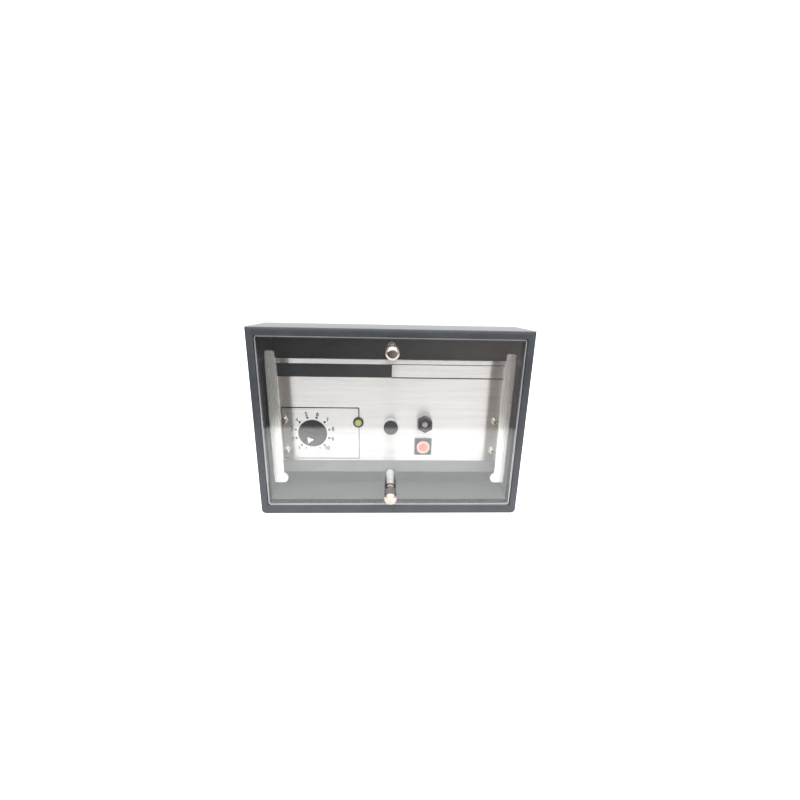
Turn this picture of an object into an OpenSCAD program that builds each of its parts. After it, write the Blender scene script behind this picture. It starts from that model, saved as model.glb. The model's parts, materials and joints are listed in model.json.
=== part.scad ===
// Protection relay: clear-fronted bezel, drawout chassis with dial panel, steel rear case.
// Origin: centre of the bezel's rear face, which lies on the switchboard panel.
// +X right, +Y to the rear, +Z up. Millimetres.

/* [Bezel] */
// Width of the bezel
bezel_w = 170; // [155:1:190]
// Height of the bezel
bezel_h = 122; // [112:1:136]
// Depth of the bezel in front of the switchboard panel
bezel_depth = 35.3; // [34:0.1:40]
// Radius of the two lower corners of the bezel seen from the front
bezel_corner = 3; // [2:0.5:5]
// Radius of the two upper corners of the bezel seen from the front
bezel_top_corner = 0.8; // [0.5:0.1:3]
// Thickness of the two side walls
side_wall = 4.4; // [4.2:0.1:4.8]
// Thickness of the top wall
top_wall = 4.7; // [4.4:0.1:5.2]
// Thickness of the bottom wall
bottom_wall = 5.8; // [5.5:0.1:6.3]
// Thickness of the bezel's rear web
web_t = 4; // [3.5:0.1:4.2]
// Height of the two ledges behind the cover
ledge_h = 2; // [1.5:0.1:2.2]
// Thickness of the gasket strips on the ledges
gasket_t = 0.9; // [0.6:0.1:1.2]

/* [Case] */
// Width of the bezel's flange round the mouth that the chassis passes through
flange_w = 17; // [16.5:0.1:18]
// Wall of the collar behind the bezel
collar_t = 2; // [1.8:0.1:2.4]
// Length of the collar behind the bezel
collar_len = 10; // [9:0.5:11]
// Sheet thickness of the case shell
shell_t = 1.8; // [1.2:0.1:2.2]
// Depth of the case behind the switchboard panel
case_depth = 125; // [122:1:150]
// Gap between the collar and the shell, each side
shell_gap = 0.15; // [0.1:0.05:0.3]

/* [Cover] */
// Thickness of the clear cover
cover_t = 3; // [2.5:0.1:3.4]
// Gap round the cover's edge
cover_gap = 0.4; // [0.3:0.1:0.8]
// How far the cover's face lies behind the bezel's face
cover_recess = 1; // [0.8:0.1:1.5]
// Distance of the upper thumbscrew below the cover's upper edge
screw_top_in = 8.3; // [7.8:0.1:9.5]
// Distance of the lower thumbscrew above the cover's lower edge
screw_low_in = 10.7; // [10.2:0.1:13]
// Diameter of a thumbscrew's knurled barrel
thumb_d = 7.8; // [7:0.1:9]
// Length of a thumbscrew's knurled barrel
thumb_len = 10.2; // [8:0.2:14]
// Diameter of a thumbscrew's shank
shank_d = 3.4; // [3:0.1:3.6]
// Diameter of the two standoffs
standoff_d = 5; // [4.9:0.1:6]

/* [Panel] */
// Distance of the dial panel's sides from the bezel's walls
panel_side = 3.4; // [3.3:0.1:3.6]
// Distance of the dial panel's upper edge below the bezel's top wall
panel_drop = 17.6; // [15.3:0.1:18.3]
// Thickness of the dial panel
panel_t = 2; // [1.8:0.1:2.2]
// Distance from the bezel's face back to the panel's face
panel_setback = 26; // [25:0.5:27]
// Sheet thickness of the chassis plate and the handles
sheet_t = 1.5; // [1.2:0.1:1.6]

/* [Handles] */
// Distance of a handle's bar in front of the panel
handle_reach = 15; // [12:0.5:16]
// Width of a handle's bar
handle_bar_w = 7.3; // [6.5:0.1:8]
// Distance of a handle's top end below the bezel's top wall
handle_top_in = 10.5; // [8.3:0.1:12.3]
// Distance of a handle's bottom end above the bezel's bottom wall
handle_low_in = 11.5; // [10.2:0.1:12.2]
// Distance of the side web's upper end below the bezel's top wall
handle_web_top_in = 18.3; // [17.3:0.1:20.3]
// Distance of the side web's lower end above the bezel's bottom wall
handle_web_low_in = 17.8; // [17.2:0.1:19.2]
// Height of the foot at a handle's lower end
handle_foot_h = 6.5; // [6:0.1:7]
// How far the foot reaches past the bar
handle_foot_reach = 2.5; // [1:0.1:4]

/* [Controls] */
// Diameter of the setting dial
dial_d = 19; // [17:0.5:20]
// Distance of the dial's centre from the panel's left edge
dial_in = 22.6; // [22:0.1:26]
// Distance of the dial's centre below the panel's middle
dial_drop = 7.65; // [6:0.05:9]
// Turn of the pointer from straight up at the low stop
pointer_turn = 156.5; // [140:0.5:170]
// Diameter of the lamp
lamp_d = 5; // [3:0.5:5]
// Distance of the lamp from the panel's left edge
lamp_in = 54.6; // [53:0.1:57]
// Distance of the lamp above the panel's middle
lamp_rise = 0.85; // [-1:0.05:3]
// Diameter of the reset button's cap
reset_d = 9.9; // [9:0.1:10.5]
// Distance of the reset button below the panel's middle
reset_drop = 1.75; // [-1:0.05:3]
// Distance across the flats of the trip guard
guard_af = 9.5; // [9:0.1:11]
// Distance of the trip guard from the panel's right edge
guard_in = 53.6; // [52:0.1:55]
// Distance of the trip guard above the panel's middle
guard_rise = 0.85; // [0:0.05:3]
// Width of the square target housing
target_w = 11.8; // [11.6:0.1:12.4]
// Distance of the target from the panel's right edge
target_in = 54; // [52:0.1:55]
// Distance of the target below the panel's middle
target_drop = 17.05; // [16:0.05:18]
// Diameter of the target's disc
target_d = 9; // [8:0.2:9.2]

/* [Board] */
// Gap between the circuit board's sides and the mouth's sides
board_side = 2; // [1.9:0.1:2.2]
// Thickness of the circuit board
board_t = 1.6; // [1.2:0.1:1.8]
// Height of the board's upper face above the mouth's lower edge
board_rise = 8; // [7.5:0.1:8.5]

/* [Terminals] */
// Number of terminals in each block
terminal_n = 8; // [6:1:8]
// Gap between the blocks' ends and the mouth's sides
block_side = 3; // [1:0.5:6]
// Distance of a block's centre from the case's upper or lower face
terminal_in = 23.95; // [22:0.05:28]
// Height of a terminal block
terminal_h = 22; // [20:1:24]

/* [Hidden] */
$fn = 48;

// Overrun of every cutting shape past the face it cuts
cut = 1;
// Fit of pieces pressed together, running fit of turned pieces, free clearance
press = 0.02;
run = 0.05;
free = 0.3;

// Depth planes, front to rear
gasket_fit = 0.1;
face_y = -bezel_depth;
cover_y = face_y + cover_recess;
cover_back = cover_y + cover_t;
ledge_y = cover_back + gasket_t + gasket_fit;
panel_y = face_y + panel_setback;
panel_back = panel_y + panel_t;
plate_y = panel_back + sheet_t;
plate_back = plate_y + sheet_t;
rear_in = case_depth - shell_t;

// Cavity in front of the web
cavity_w = bezel_w - 2 * side_wall;
cavity_top = bezel_h / 2 - top_wall;
cavity_low = -bezel_h / 2 + bottom_wall;
cavity_h = cavity_top - cavity_low;
cavity_z = (cavity_top + cavity_low) / 2;
cavity_r = 1.5;
well_h = cavity_h - 2 * ledge_h;
gasket_in = 4;

// Mouth, collar and shell; the shell's front edge sits in a rebate in the bezel's rear face
mouth_w = bezel_w - 2 * flange_w;
mouth_h = bezel_h - 2 * flange_w;
mouth_r = 2;
collar_w = mouth_w + 2 * collar_t;
collar_h = mouth_h + 2 * collar_t;
shell_in_w = collar_w + 2 * shell_gap;
shell_in_h = collar_h + 2 * shell_gap;
shell_w = shell_in_w + 2 * shell_t;
shell_h = shell_in_h + 2 * shell_t;
shell_r = 2.4;
rebate_t = 1.2;
shell_y = free - rebate_t;
case_screw_y = collar_len * 0.55;
case_screw_in = 14;
case_screw_z = mouth_h / 2 - case_screw_in;
case_screw_d = 2.9;
case_screw_head = 6;
case_screw_head_t = 1.8;
case_screw_tip = 0.2;

// Studs pressed into the web's corners
stud_side = 3.6;
stud_in = 4.2;
stud_x = cavity_w / 2 - stud_side;
stud_z = -cavity_low - ledge_h - stud_in;
stud_d = 4.8;
stud_len = 20;
stud_neck = 5.2;
stud_head = 5.8;
stud_head_t = 1.4;

// Standoffs and thumbscrews
screw_top_z = cavity_top - screw_top_in;
screw_low_z = cavity_low + screw_low_in;
standoff_gap = 2.6;
standoff_y = cover_back + standoff_gap;
standoff_bore = shank_d + 2 * run;
standoff_bore_len = 12;
spigot_d = 3.6;
eyelet_d = 5.5;
eyelet_bore = shank_d + 2 * free;
eyelet_rim = 8;
eyelet_back = 7.6;
eyelet_t = 0.8;
thumb_back = cover_y - eyelet_t - free;
thumb_y = thumb_back - thumb_len;
thumb_edge = 0.9;
tip_edge = 0.6;
shank_tip_gap = 1.5;
shank_end = standoff_y + standoff_bore_len - shank_tip_gap;
clip_t = 0.6;
clip_clear = 0.4;
clip_y = cover_back + eyelet_t + clip_clear;
clip_d = 6.4;
clip_depth = 0.3;
clip_groove = shank_d - 2 * clip_depth;
clip_gap = 1.6;

// Chassis plate and dial panel
plate_side = 1.6;
plate_end = 0.8;
plate_foot = 2;
plate_w = cavity_w - 2 * plate_side;
plate_top = cavity_top - ledge_h - plate_end;
plate_low = cavity_low + ledge_h + plate_foot;
panel_w = cavity_w - 2 * panel_side;
panel_top = cavity_top - panel_drop;
panel_low = plate_low;
panel_mid = (panel_top + panel_low) / 2;

// Panel screws
panel_screw_in = 3.2;
panel_screw_rise = 2.05;
panel_screw_step = 22.5;
panel_screw_x = panel_w / 2 - panel_screw_in;
panel_screw_z = panel_mid + panel_screw_rise;
panel_screw_zs = [panel_screw_z, panel_screw_z - panel_screw_step];
panel_screw_d = 2.9;
panel_screw_head = 5.6;
panel_screw_head_t = 1.9;

// Handles
handle_side = 1.5;
handle_out = cavity_w / 2 - handle_side;
handle_y = panel_y - handle_reach;
handle_inner_r = 0.4;
handle_bend = 0.9;
handle_flange = 9.1;
handle_nick = 0.7;
handle_corner = 0.9;
handle_in = handle_out - handle_bar_w;
handle_tab = handle_out - handle_nick;
handle_top = cavity_top - handle_top_in;
handle_low = cavity_low + handle_low_in;
handle_web_top = cavity_top - handle_web_top_in;
handle_web_low = cavity_low + handle_web_low_in;
handle_foot_r = handle_foot_h / 2;

// Setting dial
dial_x = -panel_w / 2 + dial_in;
dial_z = panel_mid - dial_drop;
dial_gap = 0.5;
dial_hole = dial_d + 2 * dial_gap;
dial_sink = 0.3;
dial_t = 2.4;
dial_face = panel_y + dial_sink;
dial_back = dial_face + dial_t;
dial_edge = 0.3;
dial_slot = [13, 1.2, 0.8];
pointer_side = 4.8;
pointer_at = 5.7;
pointer_t = 0.3;
shaft_d = 6;
shaft_in = 1.4;
shaft_y = dial_back - shaft_in;
shaft_end = 4;
pot_flange = 18;
pot_flange_t = 1.2;
pot_d = 16;
pot_end = 8;
lug = [2, 7, 0.6];
lug_step = 4;

// Lamp
lamp_x = -panel_w / 2 + lamp_in;
lamp_z = panel_mid + lamp_rise;
lamp_rim = 1.15;
lamp_wall = 0.7;
lamp_ring = lamp_d + 2 * lamp_rim;
lamp_barrel = lamp_d + 2 * lamp_wall;
lamp_ring_t = 1.1;
lamp_tail = 0.8;
lamp_back = plate_back + lamp_tail;
lamp_stand = 1.4;
lamp_base = panel_y - lamp_stand;
lead_w = 0.5;
lead_len = 8;
lead_step = 1.27;

// Push-buttons and switches
reset_z = panel_mid - reset_drop;
guard_x = panel_w / 2 - guard_in;
guard_z = panel_mid + guard_rise;
bushing_d = 8.2;
bushing_gap = 0.2;
bushing_hole = bushing_d + 2 * bushing_gap;
stem_d = 4;
stem_bore = stem_d + 2 * run;
stem_tail = 2.4;
stem_end = plate_back + stem_tail;
reset_ring_d = 11;
reset_ring_t = 0.8;
reset_gap = 1.8;
reset_cap_t = 2.4;
reset_edge = 0.5;
reset_cap_y = panel_y - reset_ring_t - reset_gap - reset_cap_t;
guard_t = 6.5;
guard_y = panel_y - guard_t;
guard_bore = 6.4;
guard_floor_t = 1.3;
guard_floor = panel_y - guard_floor_t;
plunger_sink = 2.1;
plunger_y = guard_y + plunger_sink;
switch_w = 11;
switch_end = 9;
switch_bore = stem_d + 2 * free;
switch_travel = 3;
switch_bore_end = stem_end + switch_travel;

// Target
target_x = panel_w / 2 - target_in;
target_z = panel_mid - target_drop;
target_stand = 1.6;
target_front = panel_y - target_stand;
target_back = plate_back + free;
target_gap = 0.2;
target_hole = target_w + 2 * target_gap;
target_air = 0.35;
target_hollow = target_d / 2 + target_air;
target_disc_t = 1.2;
target_pin_d = 0.7;
target_pin_len = 12.6;
target_post_d = 2.4;
target_post_t = 1.1;
target_post_at = 6.2;
coil_d = 10;
coil_rim = 11.4;
coil_rim_t = 1;
coil_end = 9;

// Board, its guides and the edge connector
board_w = mouth_w - 2 * board_side;
board_z = -mouth_h / 2 + board_rise;
board_low = board_z - board_t;
board_gap = 3.3;
board_y = plate_back + board_gap;
board_short = 21;
board_end = case_depth - board_short;
tongue_in = 32;
tongue_short = 11;
tongue_w = board_w - 2 * tongue_in;
tongue_end = case_depth - tongue_short;
guide_lap = 2.6;
guide_play = 0.4;
guide_back = 2;
guide_over = 6;
guide_in = board_w / 2 - guide_lap;
guide_y = collar_len + guide_back;
guide_end = board_end + guide_over;
guide_slot_gap = 0.25;
guide_slot = board_w / 2 + guide_play;
guide_h = 7;
socket_side = 4;
socket_front = 2;
socket_under = 5.4;
socket_over = 6;
socket_w = tongue_w + 2 * socket_side;
socket_y = board_end + socket_front;
socket_low = board_low - socket_under;
socket_top = board_z + socket_over;
contact_n = 12;
contact_side = 2.8;
contact_pitch = (tongue_w - 2 * contact_side) / contact_n;
contact = [2.6, 8.6, 0.1];
bracket_in = 29;
bracket_x = board_w / 2 - bracket_in;
bracket_w = 14;
bracket_len = 18;
bracket_h = 9;
bracket_top = board_z + bracket_h;
small_screw_d = 2.4;
small_screw_head = 4.6;
small_screw_head_t = 1.6;
bracket_screw_h = 5.4;
board_screw_in = 7;
bracket_screw_z = board_z + bracket_screw_h;
board_screw_y = board_y + board_screw_in;

// Board components: places across are shares of half the board's width
core_at = [-0.576, 70];
core = [38, 18, 32];
core_window = [7, 20];
coil_gap = 0.3;
coil_over = 6;
coil_side = 0.8;
relay_at = [0.576, 76];
relay_size = [26, 30, 30];
relay_lip = [1.2, 2.4];
can_d = 13;
can_h = 24;
can_groove = [0.6, 1.4, 3];
can_spots = [[-0.121, 30], [0.121, 30], [0.364, 30]];
film_size = [18, 7, 14];
film_spots = [[-0.727, 18], [-0.727, 28], [0.727, 26]];
resistor_d = 3.4;
resistor_len = 9;
resistor_span = 15;
resistor_wire = 0.7;
resistor_lift = 2.6;
resistor_spots = [[-0.091, 54], [-0.091, 60], [-0.091, 66], [-0.091, 72], [-0.091, 78],
    [-0.091, 84], [0.182, 52], [0.182, 58], [0.182, 85], [0.182, 91]];
ic_size = [6.6, 20, 3.4];
ic_lift = 1;
ic_pin = [1, 0.6, 2.6];
ic_pins = 8;
ic_pitch = 2.54;
ic_spots = [[-0.788, 45], [0.15, 72], [0.788, 44]];

// Terminal blocks
block_base_t = 6;
block_fin = 2;
block_fin_t = 8;
terminal_z = shell_h / 2 - terminal_in;
block_w = mouth_w - 2 * block_side;
terminal_pitch = (block_w - block_fin) / terminal_n;
block_base_y = case_depth + block_base_t;
tab = [11, 1, 9];
tail_d = 3;
tail_hole = 5;
tail_len = 6;
tail_end = rear_in - tail_len;
term_screw_d = 4;
term_screw_head = 6.8;
term_screw_head_t = 2.6;
term_screw_in = 5;
tail_drop = 7.5;

// Earth screw
earth_d = 4;
earth_hex = 8.2;
earth_hex_t = 3.2;
earth_washer = 10;
earth_washer_t = 1;
earth_in = 6;

black_moulding = [0.06, 0.06, 0.07];
black_steel = [0.09, 0.09, 0.1];
bright_metal = [0.78, 0.78, 0.78];
satin_aluminium = [0.82, 0.82, 0.83];
brass_metal = [0.72, 0.58, 0.3];
black_rubber = [0.05, 0.05, 0.05];
clear_plastic = [0.8, 0.87, 0.9, 0.3];
board_green = [0.1, 0.32, 0.16];
blue_sleeve = [0.1, 0.16, 0.4];
red_paint = [0.8, 0.08, 0.06];
white_paint = [0.95, 0.95, 0.95];
lamp_green = [0.55, 0.65, 0.15];
steel_grey = [0.5, 0.5, 0.52];
coil_copper = [0.6, 0.3, 0.16];
tan_film = [0.66, 0.5, 0.26];

// Rectangle with round corners, drawn flat
module plate_2d(w, h, r) {
    square([w - 2 * r, h], center = true);
    square([w, h - 2 * r], center = true);
    for (x = [-1, 1], z = [-1, 1])
        translate([x * (w / 2 - r), z * (h / 2 - r)])
            circle(r = r);
}

// A flat drawing carried from one depth to another, drawing's Y becoming height
module along_y(y0, y1) {
    translate([0, y1, 0])
        rotate([90, 0, 0])
            linear_extrude(height = y1 - y0)
                children();
}

// A round bar lying front to rear
module rod(d, y0, y1) {
    translate([0, y1, 0])
        rotate([90, 0, 0])
            cylinder(d = d, h = y1 - y0);
}

// A box from its low corner to its high corner
module box(low, high) {
    translate(low)
        cube(high - low);
}

// A pan-headed screw with its head's seat at one depth, head towards the front
module front_screw(d, len, head, head_t) {
    rod(d, -press, len);
    rod(head, -head_t, 0);
}

// A turned piece: a half profile of radius and depth swept round the depth axis
module turned(points) {
    rotate([-90, 0, 0])
        rotate_extrude()
            polygon(points);
}

// Outline of the bezel: near-square corners above, rounder ones below
module bezel_2d() {
    low = -bezel_h / 2;
    top = bezel_h / 2;
    for (corner = [[bezel_corner, low, top - bezel_top_corner], [bezel_top_corner, 0, top]])
        translate([-bezel_w / 2 + corner[0], corner[1]])
            square([bezel_w - 2 * corner[0], corner[2] - corner[1]]);
    translate([-bezel_w / 2, low + bezel_corner])
        square([bezel_w, bezel_h - bezel_corner - bezel_top_corner]);
    for (x = [-1, 1]) {
        translate([x * (bezel_w / 2 - bezel_corner), low + bezel_corner])
            circle(r = bezel_corner);
        translate([x * (bezel_w / 2 - bezel_top_corner), top - bezel_top_corner])
            circle(r = bezel_top_corner);
    }
}

module bezel() {
    color(black_moulding)
        difference() {
            union() {
                difference() {
                    along_y(face_y, 0)
                        bezel_2d();
                    along_y(-rebate_t, cut)
                        plate_2d(shell_w + 2 * free, shell_h + 2 * free, shell_r + free);
                }
                along_y(-rebate_t - cut, collar_len)
                    plate_2d(collar_w, collar_h, mouth_r);
            }
            translate([0, 0, cavity_z])
                along_y(face_y - cut, ledge_y)
                    plate_2d(cavity_w, cavity_h, cavity_r);
            translate([0, 0, cavity_z])
                along_y(ledge_y - cut, -web_t)
                    plate_2d(cavity_w, well_h, cavity_r);
            along_y(-web_t - cut, collar_len + cut)
                plate_2d(mouth_w, mouth_h, mouth_r);
            for (x = [-1, 1], z = [-1, 1])
                translate([x * stud_x, 0, z * stud_z]) {
                    rod(stud_neck + 2 * press, -web_t - cut, cut);
                    rod(stud_head + 2 * press, -web_t - cut, stud_head_t - web_t);
                }
            for (z = [-1, 1])
                translate([-collar_w, case_screw_y, z * case_screw_z])
                    rotate([0, 90, 0])
                        cylinder(d = case_screw_d + 2 * press, h = 2 * collar_w);
        }
}

module cover_gasket() {
    strip = cavity_w - 2 * gasket_in;
    color(black_rubber)
        for (z = [cavity_low, cavity_top - ledge_h])
            box([-strip / 2, ledge_y - gasket_t, z], [strip / 2, ledge_y, z + ledge_h]);
}

module mounting_studs() {
    color(bright_metal)
        for (x = [-1, 1], z = [-1, 1])
            translate([x * stud_x, -web_t, z * stud_z]) {
                rod(stud_head, 0, stud_head_t);
                rod(stud_neck, 0, web_t);
                rod(stud_d, 0, web_t + stud_len);
            }
}

module case_shell() {
    color(black_steel)
        difference() {
            along_y(shell_y, case_depth)
                plate_2d(shell_w, shell_h, shell_r);
            along_y(shell_y - cut, rear_in)
                square([shell_in_w, shell_in_h], center = true);
            for (z = [-1, 1])
                translate([-collar_w, case_screw_y, z * case_screw_z])
                    rotate([0, 90, 0])
                        cylinder(d = case_screw_d + 2 * press, h = 2 * collar_w);
            for (side = [-1, 1], i = [0 : terminal_n - 1])
                translate([terminal_x(i), 0, side * (terminal_z - tail_drop)])
                    rod(tail_hole, rear_in - cut, case_depth + cut);
            rod(earth_d + 2 * press, rear_in - cut, case_depth + cut);
        }
}

module case_screws() {
    seat = shell_w / 2;
    color(bright_metal)
        for (side = [0, 1], z = [-1, 1])
            mirror([side, 0, 0])
                translate([seat, case_screw_y, z * case_screw_z])
                    rotate([0, 90, 0]) {
                        cylinder(d = case_screw_head, h = case_screw_head_t);
                        translate([0, 0, mouth_w / 2 + case_screw_tip - seat])
                            cylinder(d = case_screw_d, h = seat - mouth_w / 2);
                    }
}

// Place of one terminal across the block
function terminal_x(i) = (i - (terminal_n - 1) / 2) * terminal_pitch;

module terminal_block() {
    difference() {
        union() {
            box([-block_w / 2, case_depth, -terminal_h / 2],
                [block_w / 2, block_base_y, terminal_h / 2]);
            for (i = [0 : terminal_n])
                translate([(i - terminal_n / 2) * terminal_pitch, 0, 0])
                    box([-block_fin / 2, block_base_y - cut, -terminal_h / 2],
                        [block_fin / 2, block_base_y + block_fin_t, terminal_h / 2]);
        }
        for (i = [0 : terminal_n - 1])
            translate([terminal_x(i), 0, 0]) {
                rod(term_screw_d + 2 * press, block_base_y - term_screw_in, block_base_y + cut);
                translate([0, 0, -tail_drop])
                    rod(tail_d + 2 * press, case_depth - cut, block_base_y + cut);
            }
    }
}

module terminal_plates() {
    for (i = [0 : terminal_n - 1])
        translate([terminal_x(i), 0, 0])
            difference() {
                union() {
                    box([-tab.x / 2, block_base_y, -tail_drop - tail_d / 2],
                        [tab.x / 2, block_base_y + tab.y, tab.z / 2]);
                    translate([0, 0, -tail_drop])
                        rod(tail_d, tail_end, block_base_y + tab.y / 2);
                }
                rod(term_screw_d + 2 * press, block_base_y - cut, block_base_y + tab.y + cut);
            }
}

module terminal_screws() {
    for (i = [0 : terminal_n - 1])
        translate([terminal_x(i), block_base_y + tab.y, 0]) {
            rod(term_screw_head, 0, term_screw_head_t);
            rod(term_screw_d, free - term_screw_in - tab.y, term_screw_head_t);
        }
}

module terminal_block_upper() {
    color(black_moulding)
        translate([0, 0, terminal_z])
            terminal_block();
}

module terminal_block_lower() {
    color(black_moulding)
        translate([0, 0, -terminal_z])
            mirror([0, 0, 1])
                terminal_block();
}

module terminal_plates_upper() {
    color(brass_metal)
        translate([0, 0, terminal_z])
            terminal_plates();
}

module terminal_plates_lower() {
    color(brass_metal)
        translate([0, 0, -terminal_z])
            mirror([0, 0, 1])
                terminal_plates();
}

module terminal_screws_upper() {
    color(bright_metal)
        translate([0, 0, terminal_z])
            terminal_screws();
}

module terminal_screws_lower() {
    color(bright_metal)
        translate([0, 0, -terminal_z])
            terminal_screws();
}

module earth_screw() {
    color(brass_metal)
        translate([0, case_depth, 0]) {
            rod(earth_d, -earth_in, earth_washer_t);
            rod(earth_washer, 0, earth_washer_t);
            translate([0, earth_washer_t + earth_hex_t, 0])
                rotate([90, 0, 0])
                    cylinder(d = earth_hex, h = earth_hex_t + earth_washer_t / 2, $fn = 6);
        }
}

module card_guide() {
    difference() {
        box([guide_in, guide_y, board_low - guide_h / 2],
            [shell_in_w / 2, guide_end, board_z + guide_h / 2]);
        box([guide_in - cut, guide_y - cut, board_low - guide_slot_gap],
            [guide_slot, guide_end + cut, board_z + guide_slot_gap]);
    }
}

module card_guide_left() {
    color(black_moulding)
        mirror([1, 0, 0])
            card_guide();
}

module card_guide_right() {
    color(black_moulding)
        card_guide();
}

module edge_connector() {
    gap = guide_slot_gap;
    color(black_moulding)
        difference() {
            box([-socket_w / 2, socket_y, socket_low], [socket_w / 2, rear_in, socket_top]);
            box([-tongue_w / 2 - gap, socket_y - cut, board_low - gap],
                [tongue_w / 2 + gap, tongue_end + cut, board_z + contact.z + gap]);
        }
}

module chassis_plate() {
    color(black_steel)
        difference() {
            box([-plate_w / 2, plate_y, plate_low], [plate_w / 2, plate_back, plate_top]);
            panel_holes(plate_y - cut, plate_back + cut, shaft_d + 2 * dial_gap);
            for (z = [screw_top_z, screw_low_z])
                translate([0, 0, z])
                    rod(spigot_d + 2 * press, plate_y - cut, plate_back + cut);
            for (x = [-1, 1])
                translate([x * bracket_x, 0, bracket_screw_z])
                    rod(small_screw_d + 2 * press, plate_y - cut, plate_back + cut);
        }
}

// The holes shared by the dial panel and the plate behind it
module panel_holes(y0, y1, dial_bore) {
    translate([dial_x, 0, dial_z])
        rod(dial_bore, y0, y1);
    translate([lamp_x, 0, lamp_z])
        rod(lamp_barrel + 2 * press, y0, y1);
    translate([0, 0, reset_z])
        rod(bushing_hole, y0, y1);
    translate([guard_x, 0, guard_z])
        rod(bushing_hole, y0, y1);
    translate([target_x, 0, target_z])
        box([-target_hole / 2, y0, -target_hole / 2], [target_hole / 2, y1, target_hole / 2]);
    for (x = [-1, 1], z = panel_screw_zs)
        translate([x * panel_screw_x, 0, z])
            rod(panel_screw_d + 2 * press, y0, y1);
}

module dial_panel() {
    color(satin_aluminium)
        difference() {
            box([-panel_w / 2, panel_y, panel_low], [panel_w / 2, panel_back, panel_top]);
            panel_holes(panel_y - cut, panel_back + cut, dial_hole);
            translate([0, 0, screw_low_z])
                rod(standoff_d + 2 * free, panel_y - cut, panel_back + cut);
        }
}

module panel_screws() {
    color(bright_metal)
        for (x = [-1, 1], z = panel_screw_zs)
            translate([x * panel_screw_x, panel_y, z])
                front_screw(panel_screw_d, plate_back - panel_y, panel_screw_head,
                    panel_screw_head_t);
}

// Section of a handle's side web with the bar in front and the flange behind
module handle_section() {
    depth = plate_y - handle_y;
    difference() {
        translate([handle_out - handle_flange, handle_y])
            bent_2d(handle_flange, depth, handle_bend);
        translate([handle_out - handle_flange - cut, handle_y + sheet_t])
            bent_2d(handle_flange + cut - sheet_t, depth - 2 * sheet_t, handle_inner_r);
        translate([handle_out - handle_flange - cut, handle_y - cut])
            square([handle_flange + cut - handle_bar_w, cut + 2 * sheet_t]);
    }
}

// Rectangle with its two right-hand corners round
module bent_2d(w, h, r) {
    square([w - r, h]);
    translate([0, r])
        square([w, h - 2 * r]);
    for (y = [r, h - r])
        translate([w - r, y])
            circle(r = r);
}

module handle() {
    difference() {
        union() {
            translate([0, 0, handle_web_low])
                linear_extrude(height = handle_web_top - handle_web_low)
                    handle_section();
            along_y(handle_y, handle_y + sheet_t)
                handle_bar_2d();
        }
        for (z = panel_screw_zs)
            translate([panel_screw_x, 0, z])
                rod(panel_screw_d + 2 * press, panel_back - cut, plate_y + cut);
    }
}

// Front of a handle: the long bar, its narrower top end and the round-ended foot
module handle_bar_2d() {
    foot_in = handle_in - handle_foot_reach;
    tab_in = handle_in + handle_nick;
    polygon([[handle_in, handle_low], [handle_tab, handle_low],
        [handle_tab, handle_top - handle_corner], [handle_tab - handle_corner, handle_top],
        [tab_in + handle_corner, handle_top], [tab_in, handle_top - handle_corner],
        [tab_in, handle_web_top], [handle_in, handle_web_top]]);
    translate([foot_in + handle_foot_r, handle_low])
        square([handle_tab - foot_in - handle_foot_r, handle_foot_h]);
    translate([foot_in + handle_foot_r, handle_low + handle_foot_r])
        circle(r = handle_foot_r);
}

module handle_left() {
    color(satin_aluminium)
        mirror([1, 0, 0])
            handle();
}

module handle_right() {
    color(satin_aluminium)
        handle();
}

module standoff() {
    difference() {
        union() {
            rod(standoff_d, standoff_y, plate_y);
            rod(spigot_d, plate_y - cut, plate_back);
        }
        rod(standoff_bore, standoff_y - cut, standoff_y + standoff_bore_len);
    }
}

module standoff_top() {
    color(bright_metal)
        translate([0, 0, screw_top_z])
            standoff();
}

module standoff_bottom() {
    color(bright_metal)
        translate([0, 0, screw_low_z])
            standoff();
}

module circuit_board() {
    color(board_green)
        difference() {
            union() {
                box([-board_w / 2, board_y, board_low], [board_w / 2, board_end, board_z]);
                box([-tongue_w / 2, board_end - cut, board_low],
                    [tongue_w / 2, tongue_end, board_z]);
            }
            for (x = [-1, 1])
                translate([x * bracket_x, board_screw_y, board_low - cut])
                    cylinder(d = small_screw_d + 2 * press, h = board_t + 2 * cut);
        }
}

module edge_contacts() {
    color(brass_metal)
        for (i = [0 : contact_n - 1])
            translate([(i - (contact_n - 1) / 2) * contact_pitch - contact.x / 2,
                    tongue_end - contact.y, board_z])
                cube(contact);
}

module board_brackets() {
    color(bright_metal)
        for (x = [-1, 1])
            translate([x * bracket_x, 0, 0])
                difference() {
                    union() {
                        box([-bracket_w / 2, plate_back, board_low - sheet_t],
                            [bracket_w / 2, plate_back + sheet_t, bracket_top]);
                        box([-bracket_w / 2, plate_back, board_low - sheet_t],
                            [bracket_w / 2, plate_back + bracket_len, board_low]);
                    }
                    translate([0, 0, bracket_screw_z])
                        rod(small_screw_d + 2 * press, plate_back - cut,
                            plate_back + sheet_t + cut);
                    translate([0, board_screw_y, board_low - sheet_t - cut])
                        cylinder(d = small_screw_d + 2 * press, h = sheet_t + 2 * cut);
                }
}

module bracket_screws() {
    color(bright_metal)
        for (x = [-1, 1])
            translate([x * bracket_x, plate_back + sheet_t, bracket_screw_z]) {
                rod(small_screw_d, -2 * sheet_t, small_screw_head_t);
                rod(small_screw_head, 0, small_screw_head_t);
            }
}

module board_screws() {
    color(bright_metal)
        for (x = [-1, 1])
            translate([x * bracket_x, board_screw_y, board_z]) {
                cylinder(d = small_screw_head, h = small_screw_head_t);
                translate([0, 0, -board_t - sheet_t])
                    cylinder(d = small_screw_d, h = board_t + sheet_t + small_screw_head_t);
            }
}

// Place of a component across the board, from its share of half the board's width
function board_x(share) = share * board_w / 2;

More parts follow.
